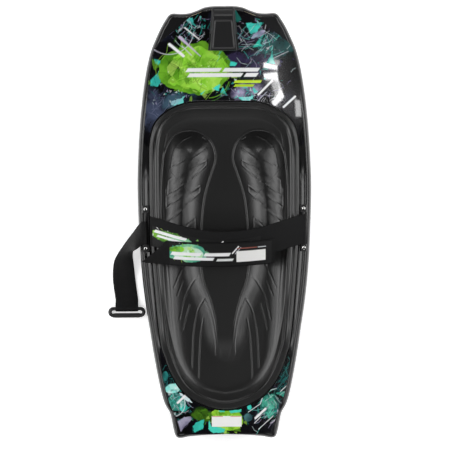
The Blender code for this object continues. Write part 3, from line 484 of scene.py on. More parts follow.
# plates between the cuts: middle line, half width
wellPlates = (
    ((-0.1560, 0.1780), (-0.1180, 0.2080), 0.012), ((-0.1660, 0.1000), (-0.1160, 0.1420), 0.011),
    ((-0.1700, 0.0560), (-0.1220, 0.0930), 0.010), ((-0.1680, 0.0100), (-0.1200, 0.0520), 0.010),
    ((-0.0560, 0.2050), (-0.1000, 0.1740), 0.010), ((-0.0580, 0.1640), (-0.0980, 0.1380), 0.008),
    ((-0.0740, 0.1000), (-0.1080, 0.0720), 0.009), ((-0.0870, 0.0100), (-0.1100, -0.0120), 0.008),
)
wellVeins = (
    ((-0.1210, -0.1258), (-0.1360, -0.1550), (-0.1520, -0.1927)),
    ((-0.0794, -0.1603), (-0.0958, -0.1764), (-0.1210, -0.2272), (-0.1356, -0.2870)),
    ((-0.0613, -0.2236), (-0.0812, -0.2635), (-0.0940, -0.3289), (-0.0987, -0.4303)),
    ((-0.0613, -0.2236), (-0.0413, -0.2706), (-0.0286, -0.3471), (-0.0286, -0.3905)),
    ((-0.0648, -0.2855), (-0.0741, -0.3471), (-0.0794, -0.4595)),
    ((-0.1047, -0.2418), (-0.1264, -0.3182)),
    ((-0.1240, -0.1700), (-0.1420, -0.2150)),
)
wellFloor = {
    "plateau": ((-0.560, 0.085), (-0.480, 0.100), (-0.420, 0.122), (-0.290, 0.200), (-0.180, 0.285),
                (-0.070, 0.325),
                (0.090, 0.330), (0.180, 0.318), (0.290, 0.280), (0.420, 0.205), (0.540, 0.145),
                (0.640, 0.122),
                (0.730, 0.160), (0.790, 0.300), (0.812, 0.480)),
    "depths": ((-1, 0), (-0.60, 0.05), (-0.30, 0.22), (0, 0.46), (0.30, 0.74), (0.52, 0.94), (0.66, 1),
               (0.82, 0.86)),
    "spare": 0.0075, "nearFloor": 0.004,
}


def readTable(table, at):
    return np.interp(at, [p for p, _ in table], [d for _, d in table])


def basinDepth(x, y):
    # the solid model's well, which the foam and shell below follow
    u, v = np.abs(x) / pad["halfWidth"], (y - pad["middle"]) / pad["halfLength"]
    deep = pad["footDepth"] + (pad["kneeDepth"] - pad["footDepth"]) * readTable(wellFloor["depths"], v)
    inner = ease((u - readTable(wellFloor["plateau"], v)) / 0.16)
    front = ease((0.845 - v - 0.25 * np.maximum(0, np.abs(u - 0.46) - 0.05)) / 0.10)
    merged = ease((-0.50 - v) / 0.10)
    plateau = pad["plateauDepth"] + (pad["footDepth"] - pad["plateauDepth"]) * merged
    return plateau + (deep - plateau) * np.maximum(inner, merged) * ease((0.90 - u) / 0.22) * front


def halfWidthOf(outline, y):
    right = throughPoints(outline, 16)
    order = np.argsort(right[:, 1])
    return np.interp(y, right[order, 1], right[order, 0])


def spreadBy(density, first, last, count):
    fine = np.linspace(first, last, 4000)
    total = np.cumsum(density(fine))
    return np.interp(np.linspace(total[0], total[-1], count), total, fine)


def padSheet():
    def rowDensity(y):
        ends = np.exp(-np.minimum(pad["front"] - y, y - pad["back"]) / 0.012)
        return 1 + 0.7 * ease((y + 0.03) / 0.03) * ease((0.285 - y) / 0.02) + 2.5 * ends

    y = spreadBy(rowDensity, pad["back"], pad["front"], kneePad["along"])
    half = halfWidthOf(padHalf, y)
    half[[0, -1]] = half[[1, -2]] * 0.55
    def columnDensity(u):
        return 0.45 + 0.55 * ease((np.abs(u) - 0.08) / 0.05) + 0.5 * ease((np.abs(u) - 0.86) / 0.03)

    u = spreadBy(columnDensity, -1, 1, kneePad["across"])
    x = half[:, None] * u[None, :]
    return np.column_stack([x.reshape(-1), np.repeat(y, len(u))])


def bump(distance, height, width):
    return height * np.exp(-(distance / width) ** 2)


def padHeight(flat):
    mirrored = np.column_stack([-np.abs(flat[:, 0]), flat[:, 1]])
    edge = np.maximum(0, insideDistance(flat, padEdge))
    x, y = flat[:, 0], flat[:, 1]
    flange = deckHeight(x, y) + pad["proud"]
    merged = ease((-0.330 - y) / 0.085)
    plateau = pad["plateauDepth"] + (pad["footDepth"] - pad["plateauDepth"]) * merged
    drop = plateau * ease((edge - 0.020) / 0.050)
    inner, outer = throughPoints(wellInner, 6), throughPoints(wellOuter, 6)
    inside = insideDistance(flat, np.vstack([inner, inner[::-1] * [-1, 1], outer * [-1, 1], outer[::-1]]))
    depthIn = np.maximum(0, inside)
    deep = np.interp(y, [p for p, _ in wellDepths], [d for _, d in wellDepths])
    run = np.interp(y, (-0.45, -0.30, 0.00, 0.20), (0.036, 0.050, 0.066, 0.074))
    fall = 1 - (1 - np.clip(depthIn / run, 0, 1)) ** kneePad["wallPower"]
    floor = drop + np.maximum(0, deep - drop) * fall
    # stays clear of the solid below, by a smooth limit that starts at nearFloor
    spare = basinDepth(x, y) + wellFloor["spare"] - floor - wellFloor["nearFloor"]
    floor = floor + np.where(spare < 0, spare / 2 - np.sqrt(spare ** 2 / 4 + 0.000002), 0)
    for first, last, half in wellPlates:
        near = lineDistance(mirrored, np.array((first, last)))
        floor = floor - kneePad["plateRise"] * ease((half - near) / half) * ease(depthIn / 0.015)
    for line in wellCuts:
        floor = floor + bump(lineDistance(mirrored, np.array(line)), kneePad["cutDepth"], kneePad["cutWidth"])
    for line in wellVeins:
        floor = floor - bump(lineDistance(mirrored, throughPoints(line, 5)), *kneePad["vein"])
    floor = floor - bump(inside + kneePad["rimOut"], *kneePad["rim"]) * ease((y + 0.36) / 0.10)
    sideways = ease((0.330 - y) / 0.10) * ease((y + 0.40) / 0.16)
    for place, height, width in kneePad["ridges"]:
        floor = floor - sideways * bump(edge - place, height, width)
    floor = floor + sideways * bump(edge - kneePad["valleyAt"], *kneePad["valley"])
    ends = (ease((y - 0.16) / 0.10), ease((-0.16 - y) / 0.12))
    for place, share in zip(kneePad["grooves"], ends):
        floor = floor + share * bump(edge - place, kneePad["grooveDepth"], kneePad["grooveWidth"])
    rounding = 1 - np.clip(edge / kneePad["edgeRound"], 0, 1)
    return flange - floor - kneePad["edgeRound"] * (1 - np.sqrt(np.maximum(0, 1 - rounding ** 2)))


def buildPad():
    flat = padSheet()
    height = padHeight(flat)
    sheet = np.column_stack([flat, height]).reshape(kneePad["along"], kneePad["across"], 3)
    skirt = np.pad(sheet, ((1, 1), (1, 1), (0, 0)), mode="edge")
    skirt[[0, -1], :, 2] -= 0.0050
    skirt[:, [0, -1], 2] -= 0.0050
    return gridPiece("kneePadFoam", skirt)


kneeFoam = wear(buildPad(), evaFinish)
fit(kneeFoam, "eva", "board", "knee_pad")
print("pad done")


# Printed films, painted with plain shapes

noseFilm = {
    "outer": ((0.0, 0.612), (0.035, 0.6215), (0.060, 0.6175), (0.0961, 0.6037), (0.1401, 0.5665),
              (0.1920, 0.5280),
              (0.2045, 0.510), (0.2156, 0.458), (0.225, 0.390), (0.2335, 0.300), (0.2385, 0.236)),
    "levels": 205, "lift": 0.0007, "margin": 0.0045, "columns": 480,
}
tailFilm = {
    "outer": ((0.0, -0.6225), (0.060, -0.6235), (0.120, -0.6240), (0.1330, -0.6160), (0.1413, -0.5947),
              (0.1520, -0.5650), (0.168, -0.5263), (0.177, -0.4936), (0.1859, -0.4550), (0.1950, -0.3700)),
    "levels": 120, "lift": 0.0007, "margin": 0.0040, "columns": 480,
}


def filmSheet(name, film, atNose):
    half = np.array(film["outer"])
    outer = np.vstack([half[::-1] * [-1, 1], half[1:]])
    ends = np.array([outer[0] - pole, outer[-1] - pole])
    angles = np.arctan2(ends[:, 0], ends[:, 1] if atNose else -ends[:, 1])
    turns = np.linspace(angles[0], angles[1], film["columns"])
    spokes = np.stack([np.sin(turns), np.cos(turns) * (1 if atNose else -1)], axis=1)
    far = pole + spokes * reachAlong(outer, spokes, closed=False)[:, None]
    near = pole + spokes * (reachAlong(padEdge, spokes) + film["margin"])[:, None]
    shares = np.linspace(0, 1, film["levels"])[:, None, None]
    flat = near[None] + (far - near)[None] * shares
    points = flat.reshape(-1, 2)
    height = deckHeight(points[:, 0], points[:, 1]) + film["lift"]
    rows = np.column_stack([points, height]).reshape(film["levels"], film["columns"], 3)
    rows = rows if atNose else rows[:, ::-1]
    lower = rows[[0, -1]] - [0, 0, 0.0012]
    return gridPiece(name, np.concatenate([lower[:1], rows, lower[1:]]))


# prints are painted in millimetres: each mark gives how much it covers each point, and its color
def paintPiece(piece, points, ground, marks):
    points = 1000 * points
    colors = ground(points)
    for mark in marks:
        cover, color = mark(points)
        colors = colors * (1 - cover[:, None]) + color * cover[:, None]
    layer = piece.data.color_attributes.new("paint", "FLOAT_COLOR", "POINT")
    layer.data.foreach_set("color", np.column_stack([colors, np.ones(len(colors))]).reshape(-1))


def flatPoints(piece):
    places = np.zeros(len(piece.data.vertices) * 3)
    piece.data.vertices.foreach_get("co", places)
    return places.reshape(-1, 3)[:, :2]


def tinted(points, color, second, size, seed):
    mix = ease((clouds(points, size, seed)[:, None] - 0.3) / 0.4)
    return np.array(linear(color)) * (1 - mix) + np.array(linear(second)) * mix


def shard(outline, color, second=None, rough=0, seed=3, soft=1.2):
    outline = np.array(outline)

    def cover(points):
        inside = insideDistance(points, outline)
        if rough:
            inside = inside + (clouds(points, rough * 3, seed) - 0.5) * rough * 2
        return ease(inside / soft + 0.5), tinted(points, color, second or color, 30, seed)

    return cover


def blob(middle, radii, color, second, rough, seed, soft=1.2, turn=0.0):
    spin = np.array([[math.cos(turn), -math.sin(turn)], [math.sin(turn), math.cos(turn)]])

    def cover(points):
        far = (1 - np.linalg.norm((points - middle) @ spin / radii, axis=1)) * min(radii)
        far = far + (clouds(points, 45, seed) - 0.5) * rough * 2
        return ease(far / soft + 0.5), tinted(points, color, second, 28, seed + 5)

    return cover


def stroke(line, width, color, end=None, strength=1.0):
    line = np.array(line)
    run = line[-1] - line[0]
    end = width if end is None else end

    def cover(points):
        wide = width + (end - width) * np.clip((points - line[0]) @ run / (run @ run), 0, 1)
        share = ease((wide / 2 - lineDistance(points, line)) / 1.2 + 0.5)
        return strength * share, np.array(linear(color))[None]

    return cover


def arc(middle, radius, first, last, width, color, strength=1.0):
    turns = np.radians(np.linspace(first, last, 24))
    line = np.array(middle) + radius * np.stack([np.cos(turns), np.sin(turns)], axis=1)
    return stroke(line, width, color, strength=strength)


def piled(flecks, reach):
    # flecks are (place, color, strength, distance inside), each over the ones before it
    def cover(points):
        total = np.zeros(len(points))
        color = np.zeros((len(points), 3))
        for place, shade, strength, inside in flecks:
            near = np.flatnonzero(np.linalg.norm(points - place, axis=1) < reach)
            if len(near):
                share = strength * ease(inside(points[near]) + 0.5)
                color[near] = color[near] * (1 - share[:, None]) + np.array(linear(shade)) * share[:, None]
                total[near] = total[near] * (1 - share) + share
        return total, color / np.maximum(total, 1e-6)[:, None]

    return cover


def scatter(seed, middle, spread, count, sizes, colors, strength=0.9, sides=3):
    rng = np.random.default_rng(seed)
    flecks = []
    for _ in range(count):
        place = np.array(middle) + rng.normal(size=2) * spread
        size = rng.uniform(*sizes)
        turns = np.sort(rng.uniform(0, 2 * math.pi, sides))
        reach = size * rng.uniform(0.5, 1.3, sides)
        outline = place + np.stack([np.cos(turns), np.sin(turns)], axis=1) * reach[:, None]
        shade = colors[rng.integers(len(colors))]
        force = strength * rng.uniform(0.6, 1.0)
        flecks.append((place, shade, force, partial(insideDistance, outline=outline)))
    return piled(flecks, 1.4 * sizes[1])


def inStroke(points, line, width):
    return width / 2 - lineDistance(points, line)


def scribbles(seed, middle, spread, count, lengths, colors, width=1.1, strength=0.7):
    rng = np.random.default_rng(seed)
    flecks = []
    for _ in range(count):
        place = np.array(middle) + rng.normal(size=2) * spread
        turn = rng.choice([0.75, 0.75, 2.3]) + rng.normal() * 0.35
        reach = rng.uniform(*lengths) / 2 * np.array([math.cos(turn), math.sin(turn)])
        bend = place + np.array([-reach[1], reach[0]]) * rng.uniform(-0.35, 0.35)
        line = np.array([place - reach, bend, place + reach])
        shade = colors[rng.integers(len(colors))]
        flecks.append((bend, shade, strength, partial(inStroke, line=line, width=width)))
    return piled(flecks, lengths[1])


def smokeGround(points):
    base = tinted(points, "#020203", "#08070d", 50, 2)
    haze = ease((clouds(points, 45, 9) - 0.60) / 0.16)[:, None] * 0.35
    return base * (1 - haze) + np.array(linear("#262b40")) * haze


noseSheet = wear(filmSheet("noseFilm", noseFilm, True), filmFinish)
white, indigo = "#f2f3f4", "#1c1830"
lime, deepLime, turquoise, teal = "#86cf33", "#4f8a1c", "#45d8c6", "#1d6f68"
cool = (turquoise, "#2fa79c", "#1d6f68", "#7fe9dd", "#dff6f4")
pale = ("#e6e6ee", "#b9b2cf", "#8f86a8", "#55506e")
green = ("#a8e04a", "#5da020", "#3f7a1c", "#c4ee6a", "#74b82c")
noseArt = [
    # smoke
    blob((-205, 335), (32, 75), "#12141d", "#3f475e", 30, 21, soft=26, turn=0.15),
    blob((-125, 362), (50, 24), "#10161e", "#3c5868", 22, 22, soft=16),
    blob((60, 385), (52, 18), "#4a4460", "#aaa4c2", 20, 23, soft=12, turn=0.2),
    blob((75, 470), (70, 30), "#191428", "#2f2846", 18, 24, soft=6, turn=-0.1),
    blob((150, 520), (50, 30), "#0f2326", "#1c4a4a", 22, 25, soft=10),
    scribbles(4, (-185, 345), (22, 35), 60, (10, 40), ("#59617c", "#8088a2", "#3c425c"), strength=0.5),
    scatter(5, (100, 555), (45, 30), 60, (3, 11), cool + pale, 0.8),
    scatter(6, (60, 385), (35, 16), 50, (3, 10), pale + cool, 0.75),
    scatter(7, (-100, 580), (30, 18), 50, (2, 8), cool, 0.8),
    scatter(8, (-130, 375), (45, 16), 46, (3, 10), cool + pale, 0.7),
    scatter(9, (110, 475), (40, 30), 40, (3, 10), (indigo, "#35305a", teal, turquoise), 0.8),
    # indigo shards
    shard(((35, 462), (90, 496), (140, 492), (128, 470), (62, 470)), indigo, "#2a2344"),
    shard(((60, 545), (115, 560), (90, 515), (52, 520)), "#15121f", "#292238"),
    # turquoise shards
    shard(((-207, 484), (-175, 477), (-179, 459), (-201, 472)), turquoise, teal, 4),
    shard(((-217, 421), (-194, 442), (-179, 466), (-174, 446), (-184, 425), (-194, 403), (-216, 405)),
          turquoise, "#2fa79c", 4),
    shard(((-157, 361), (-116, 373), (-118, 346), (-154, 351)), "#5fd9cc", "#8fb8c4", 6),
    shard(((-108, 594), (-90, 601), (-77, 572), (-99, 580)), "#3fb7ad", teal, 8),
    shard(((5, 462), (15, 476), (39, 469), (35, 460)), turquoise, turquoise, 2),
    shard(((66, 584), (113, 585), (100, 553), (81, 553)), turquoise, "#35b5a8", 6),
    shard(((123, 466), (137, 486), (143, 504), (150, 467)), turquoise, "#2fa79c", 3),
    shard(((123, 563), (86, 514), (116, 519), (106, 524)), "#2fc0aa", teal, 3),
    shard(((42, 368), (86, 374), (106, 385), (72, 357)), turquoise, "#8fe0dc", 6),
    shard(((-3, 401), (10, 374), (-9, 384)), turquoise, teal, 3),
    shard(((32, 624), (52, 594), (42, 587), (28, 604)), "#1f6b62", "#2f9f90", 4),
    shard(((86, 398), (103, 384), (89, 381)), turquoise, turquoise, 2),
    shard(((112, 450), (135, 462), (128, 448)), "#3ec9b8", teal, 4),
    shard(((88, 553), (123, 565), (112, 545), (80, 538)), "#6d6786", "#a7a2c0", 4),
    # lime splash
    blob((-86, 452), (98, 74), deepLime, "#6fae2a", 20, 31),
    blob((-78, 450), (85, 62), lime, "#a2dc4e", 22, 32),
    blob((-128, 472), (24, 17), "#9be03f", lime, 8, 33),
    blob((-150, 448), (20, 30), deepLime, "#2f5a12", 12, 34),
    scatter(10, (-85, 452), (45, 30), 90, (8, 24), green, 0.55, sides=5),
    scatter(11, (-85, 430), (50, 30), 26, (3, 8), ("#d8f59a", "#f4ffd8"), 0.5),
    scribbles(12, (-85, 450), (55, 40), 70, (15, 60), ("#183208", "#2c5a10", "#a8e04a"), strength=0.6),
    shard(((-26, 401), (-10, 409), (-15, 388), (-32, 395)), turquoise, turquoise, 2),
    shard(((-70, 381), (-56, 389), (-66, 376)), turquoise, turquoise, 2),
    arc((-45, 430), 62, -88, -15, 2.2, "#6fae2a", 0.8),
    arc((-50, 428), 70, -80, -10, 1.6, "#3f7a1c", 0.8),
    arc((-150, 452), 50, 120, 205, 1.4, "#8fbf3a", 0.7),
    scribbles(13, (110, 535), (45, 40), 90, (12, 50), cool + pale, strength=0.6),
    scribbles(14, (-100, 570), (40, 22), 70, (10, 35), cool + pale, strength=0.7),
    scribbles(15, (85, 375), (40, 18), 40, (10, 35), pale, strength=0.6),
    # white lines
    stroke(((-158.6, 524.5), (-118.1, 490.8)), 8, white),
    stroke(((-128.2, 544.7), (-67.5, 489.1)), 8.5, "#c9b9d6", end=1.8),
    stroke(((-113.1, 571.7), (-70.9, 538)), 3, white),
    stroke(((-121.5, 519.4), (-94.5, 492.5)), 2.6, "#c9c4d8"),
    stroke(((102, 377), (142, 416.5)), 6, white),
    stroke(((176.8, 340.7), (210.5, 371)), 6, white),
    stroke(((97.5, 356), (126.4, 384.5)), 2, "#b9bccb"),
    stroke(((146.6, 482.4), (190.4, 502.6)), 1.4, "#d9dce4", strength=0.8),
    arc((-160, 570), 74.5, -135, -8, 2, "#d5d3e2", 0.85),
    # plain bars
    shard(((-113, 444), (-13, 444), (-5, 455), (-105, 455)), white),
    shard(((-4, 444), (100, 444), (108, 455), (4, 455)), white),
    shard(((-108, 429), (50, 429), (58, 440), (-100, 440)), white),
    shard(((59, 429), (95, 429), (103, 440), (67, 440)), white),
    shard(((29, 411), (108, 411), (113, 419), (34, 419)), "#c8e83a"),
    shard(((29, 400), (86, 400), (91, 407), (34, 407)), "#b4d82c"),
]
paintPiece(noseSheet, flatPoints(noseSheet), smokeGround, noseArt)
tailSheet = wear(filmSheet("tailFilm", tailFilm, False), filmFinish)
tailArt = [
    scribbles(16, (165, -455), (12, 35), 60, (10, 40), ("#1f6b68", "#2f8f8a", "#0f3f40"), strength=0.6),
    scribbles(17, (-170, -470), (14, 30), 40, (8, 30), ("#1f5b60", "#2f8f8a"), strength=0.6),
    scatter(18, (-100, -555), (45, 30), 60, (3, 10), (teal, "#14454a", "#2c4a52", "#7d7892"), 0.7),
    scatter(19, (80, -560), (50, 25), 50, (3, 10), (teal, "#14454a", "#20303c"), 0.7),
    blob((129, -538), (32, 38), "#14453f", "#1f6b5f", 14, 41, soft=4),
    blob((-144, -529), (24, 24), "#1f5f56", "#2f8576", 10, 42),
    blob((-155, -488), (22, 14), "#8fe8de", "#e9fbf8", 8, 43),
    blob((-180, -455), (10, 16), "#123a3a", "#2f8f8a", 10, 44),
    blob((-124, -547), (12, 12), "#2fa79c", turquoise, 5, 45),
    shard(((-141, -586), (-123, -571), (-103, -574), (-112, -595), (-132, -612)), "#7d7892", "#aaa6bd", 5),
    shard(((-139, -500), (-108, -520), (-100, -530), (-120, -522)), "#9fb8bc", "#d9eef0", 5),
    blob((-73, -568), (30, 18), "#1f3a0d", "#3f6a16", 12, 46, soft=4),
    blob((1, -580), (46, 36), "#7cc22b", "#b6e34a", 12, 47),
    scatter(20, (1, -580), (24, 18), 60, (5, 14), green, 0.6, sides=5),
    scatter(21, (-73, -570), (18, 12), 36, (4, 11), ("#2c5a10", "#183208", "#4f8a1c"), 0.7),
    scatter(22, (-144, -520), (16, 22), 50, (4, 11), cool, 0.6),
    shard(((-64, -580), (-67, -607), (-94, -618), (-97, -601), (-88, -589)), turquoise, "#35bdaa", 2),
    shard(((-49, -583), (-52, -607), (-37, -621), (-5, -619), (-2, -607), (-43, -600)),
          "#4fdcc0", turquoise, 3),
    shard(((10, -554.5), (46, -551.5), (46, -559), (16, -562)), "#49d6ae", turquoise, 2),
    shard(((-22, -555), (-2, -553), (-4, -559), (-18, -559)), "#49d6ae", turquoise, 1),
    shard(((106, -526), (135, -511), (153, -538), (135, -553), (108, -544)), "#3f9f86", "#62c4a8", 3),
    shard(((150, -505), (177, -499), (174, -517)), "#2f8f7c", "#3fae98", 4),
    shard(((118, -560), (150, -556), (128, -580)), "#2f8f7c", "#49b89c", 4),
    scatter(23, (128, -533), (16, 18), 50, (5, 13), ("#3f9f86", "#1f6b5f", "#62c4a8", "#14453f"), 0.7),
    blob((70, -545), (7, 9), "#35cdb8", turquoise, 3, 48),
    blob((66, -575), (14, 12), "#2a4a50", "#4d7d80", 8, 49, soft=4),
    scribbles(24, (-140, -520), (22, 26), 50, (8, 30), cool + pale, strength=0.6),
    scribbles(25, (125, -540), (28, 30), 60, (8, 36), cool + pale, strength=0.6),
    stroke(((-141.3, -530.8), (-119, -510)), 6.6, white),
    stroke(((87.7, -576.9), (117.4, -550.1)), 6.2, white),
    arc((-156, -535), 36, -75, 25, 2.2, "#dfe3e8", 0.9),
    stroke(((162, -499.6), (179.9, -483.2)), 1.8, white),
    stroke(((129.3, -496.6), (150.1, -490.7)), 1.8, "#cfe3e0"),
    stroke(((96.6, -609.6), (139.7, -571)), 1.8, white),
    stroke(((84.7, -591.8), (102.6, -573.9)), 1.8, white),
    stroke(((66.9, -559.1), (102.6, -535.3), (108.5, -518)), 1.8, "#e5e8ec"),
    arc((120, -560), 34, -70, 10, 2, "#e3d6ea", 0.85),
    *[stroke(((158 + 6 * k, -470 + 12 * k), (174 + 6 * k, -452 + 12 * k)),
          1.2, "#2f8f8a", strength=0.6) for k in range(5)],
]
paintPiece(tailSheet, flatPoints(tailSheet), smokeGround, tailArt)
fit(noseSheet, "print", "board", "nose_graphic")
fit(tailSheet, "print", "board", "tail_graphic")

blankLabel = {"middle": (0.0027, -0.5860), "half": (0.0440, 0.0155), "lift": 0.0014}


def plainGround(color):
    return lambda points: np.tile(linear(color), (len(points), 1))


def buildLabel():
    middle, half = np.array(blankLabel["middle"]), np.array(blankLabel["half"])
    sides = [np.linspace(-1, 1, count) * h + m for count, h, m in zip((45, 33), half, middle)]
    grid = np.stack(np.meshgrid(*sides), axis=2)
    height = deckHeight(grid[..., 0], grid[..., 1]) + blankLabel["lift"]
    piece = wear(gridPiece("plainLabel", np.dstack([grid, height])), labelFinish)
    x, y = 1000 * middle
    halfX, halfY = 1000 * half
    top = y + halfY - 1.2
    lines = [stroke(((x + side * (halfX - 1), top), (x + side * (halfX - 32), top)), 1.6, "#c8553f")
             for side in (-1, 1)]
    paintPiece(piece, flatPoints(piece), plainGround("#f4f4f2"), lines)
    return piece


fit(buildLabel(), "label", "board", "blank_label")
print("films done")


# Straps

strap = {
    "barX": 0.2338044, "barZ": 0.0918, "anchorY": -0.017, "loop": 0.005, "webbing": 0.0026, "liner": 0.0036,
    "width": 0.087, "shift": -0.003, "arch": 0.052, "lean": 0.046, "tilt": math.radians(30), "endGap": 0.014,
    "tongueWidth": 0.071, "tongueReach": 0.1463, "hinge": 0.066, "lay": 0.0010,
}


def strapPlace(x):
    share = 1 - (x / strap["barX"]) ** 2
    y = strap["anchorY"] + strap["shift"] - strap["lean"] * max(0.0, share) ** 1.25
    return y, strap["barZ"] + strap["loop"] + strap["arch"] * share, strap["tilt"] * share


def strapHeight(x, y):
    middleY, middleZ, tilt = strapPlace(x)
    return middleZ + (y - middleY) * math.tan(tilt)


def strapEdges(first, last, count):
    left, right = [], []
    for x in np.linspace(first, last, count):
        y, z, tilt = strapPlace(x)
        across = np.array([0, math.cos(tilt), math.sin(tilt)]) * strap["width"] / 2
        left.append(np.array([x, y, z]) + across)
        right.append(np.array([x, y, z]) - across)
    return left, right


def loopEdges(centreX, centreZ, half, middleY):
    turns = [(-1.9, 0.25), (-1.25, -0.62), (-0.5, -0.97)]
    turns += [(math.cos(a), math.sin(a)) for a in np.linspace(-math.pi / 2, math.pi / 2, 17)]
    turns = throughPoints(turns, 2)
    reach = strap["loop"]
    left = [np.array([centreX + reach * c, middleY + half, centreZ + reach * s]) for c, s in turns]
    right = [p - [0, 2 * half, 0] for p in left]
    return left, right


def lowered(left, right, distance):
    left, right = np.array(left), np.array(right)
    normal = np.cross(right - left, np.gradient((left + right) / 2, axis=0))
    normal /= np.linalg.norm(normal, axis=1)[:, None]
    normal *= np.sign(normal[:, 2:3] + 1e-9)
    return list(left + normal * distance), list(right + normal * distance)


def buildThighStrap():
    nearX = strap["barX"] - 3 * strap["loop"]
    endX = strap["endGap"] - strap["barX"]
    seam = lowered(*strapEdges(nearX - 0.022, nearX, 8), -strap["webbing"] - 0.0003)
    loop = loopEdges(strap["barX"], strap["barZ"], strap["width"] / 2, strap["anchorY"] + strap["shift"])
    arch = strapEdges(strap["barX"] - 1.2 * strap["loop"], endX, 120)
    left, right = seam[0] + loop[0] + arch[0], seam[1] + loop[1] + arch[1]
    webbing = wear(bandPiece("thighWebbing", left, right, flatSection(strap["webbing"], 10)), neopreneFinish)
    keep = [k for k, p in enumerate(arch[0]) if p[0] < nearX - 0.024]
    down = -(strap["webbing"] + strap["liner"]) / 2 - 0.0003
    liner = lowered([arch[0][k] for k in keep], [arch[1][k] for k in keep], down)
    padding = wear(bandPiece("strapPadding", *liner, flatSection(strap["liner"], 10, 0.0006)), neopreneFinish)
    return webbing, padding


thighWebbing, strapPadding = buildThighStrap()
fit(thighWebbing, "webbing", "long_strap", "thigh_strap")
fit(strapPadding, "neoprene", "long_strap", "strap_liner")


def tongueMiddle(x):
    return strap["anchorY"] - 0.0592 - 0.018 * (1 - ((x + 0.03) / strap["barX"]) ** 2)


def tonguePoint(x, y, more=0.0):
    step = 0.002
    along = (strapHeight(x + step, y) - strapHeight(x - step, y)) / (2 * step)
    across = (strapHeight(x, y + step) - strapHeight(x, y - step)) / (2 * step)
    steep = math.sqrt(1 + along ** 2 + across ** 2)
    return np.array([x, y, strapHeight(x, y) + (strap["webbing"] + strap["lay"] + more) * steep])


def tongueEdges(firstShare=0.0, lastShare=1.0, count=110, inset=0.0, more=0.0):
    hingeX = strap["hinge"] - strap["barX"]
    half = strap["tongueWidth"] / 2 - inset
    left, right = [], []
    for x in np.linspace(hingeX + (strap["tongueReach"] - hingeX) * firstShare,
                         hingeX + (strap["tongueReach"] - hingeX) * lastShare, count):
        left.append(tonguePoint(x, tongueMiddle(x) + half, more))
        right.append(tonguePoint(x, tongueMiddle(x) - half, more))
    return left, right


def buildTongue():
    hingeX = strap["hinge"] - strap["barX"]
    half = strap["tongueWidth"] / 2
    left, right = [], []
    for share in np.linspace(1, 0, 26)[:-1]:
        nearX = hingeX - 0.012 * share
        farX = hingeX + (-strap["barX"] - 0.012 - hingeX) * share
        left.append(tonguePoint(nearX, tongueMiddle(nearX) + half - 0.012 * share ** 3))
        right.append(tonguePoint(farX, tongueMiddle(farX) - half))
    more = tongueEdges()
    tongue = bandPiece("pullTongue", left + more[0], right + more[1], flatSection(strap["webbing"], 8))
    return wear(tongue, webbingFinish)


pullTongue = buildTongue()
fit(pullTongue, "webbing", None, "pull_tongue", "tongue_root")
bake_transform(pullTongue)


def printBand(name, edges, lift, art):
    left, right = (np.array(e) for e in edges)
    normal = np.cross(right - left, np.gradient((left + right) / 2, axis=0))
    normal /= np.linalg.norm(normal, axis=1)[:, None]
    normal *= np.sign(normal[:, 2:3])
    shares = np.linspace(0, 1, 60)
    rows = np.stack([left + (right - left) * s + normal * lift for s in shares], axis=1)
    piece = wear(gridPiece(name, rows), patchFinish)
    length = np.linalg.norm(np.diff((left + right) / 2, axis=0), axis=1).sum()
    width = np.linalg.norm(right[0] - left[0])
    along, across = np.meshgrid(np.linspace(0, length, len(left)), (0.5 - shares) * width, indexing="ij")
    places = np.column_stack([along.reshape(-1), across.reshape(-1)])
    paintPiece(piece, places, plainGround("#0a0a0b"), art)
    return piece


tongueArt = [
    blob((52, 4), (55, 27), "#3f9f86", "#8fd0a0", 10, 51),
    blob((60, 2), (44, 22), "#cfe9d8", "#8fd66a", 10, 52),
    blob((22, 14), (18, 10), lime, "#2f6a1c", 8, 53),
    scatter(30, (55, 3), (26, 14), 60, (3, 10), ("#e9fbf8", lime, "#3f9f86", "#b6e34a", "#2f6a4c"), 0.7),
    shard(((2, -4), (90, -4), (96, 6), (8, 6)), white),
    shard(((100, -4), (176, -4), (182, 6), (106, 6)), white),
    shard(((10, -17), (128, -17), (133, -8), (15, -8)), white),
    shard(((138, -19), (186, -19), (190, -12), (142, -12)), "#dfe3e2"),
    stroke(((186, 4), (204, 24)), 3.4, white),
    stroke(((194, 2), (211, 21)), 1.6, "#cfd3da"),
    shard(((198, -23), (284, -23), (284, 10), (198, 10)), "#eeeeec"),
    stroke(((200, 18.5), (258, 18.5)), 2.6, "#9a5a50"),
    stroke(((262, 18.5), (284, 18.5)), 2.6, "#c9ccd0"),
]
strapArt = [
    blob((50, 12), (50, 16), "#6fae2a", "#2f6a1c", 10, 61),
    blob((85, 4), (46, 16), "#3f9f86", "#8fd0a0", 10, 62),
    scatter(31, (55, 10), (32, 10), 70, (3, 9), ("#c4ee6a", "#f2f3f4", "#3f7a1c", "#8fd66a"), 0.8),
    shard(((4, 12), (100, 12), (106, 21), (10, 21)), white),
    shard(((12, 1), (188, 1), (193, 8), (17, 8)), white),
    stroke(((196, 6), (214, 25)), 3, white),
    stroke(((203, 2), (220, 20)), 1.6, "#cfd3da"),
    shard(((212, 2), (300, 2), (300, 18), (212, 18)), "#eeeeec"),
    shard(((216, 6), (294, 6), (294, 14), (216, 14)), "#b9453c"),
]


def thighPrintEdges():
    left, right = strapEdges(-0.212, 0.105, 240)
    left, right = np.array(left), np.array(right)
    return left + (right - left) * 0.30, right + (left - right) * 0.03


tongueFace = tongueEdges(0.02, 0.97, 300, inset=0.0030)
tonguePrint = printBand("tonguePrint", tongueFace, strap["webbing"] / 2 + 0.0004, tongueArt)
fit(tonguePrint, "print", "tongue", "tongue_patch")
thighPrint = printBand("thighPrint", thighPrintEdges(), strap["webbing"] / 2 + 0.0003, strapArt)
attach(thighPrint, "long_strap")


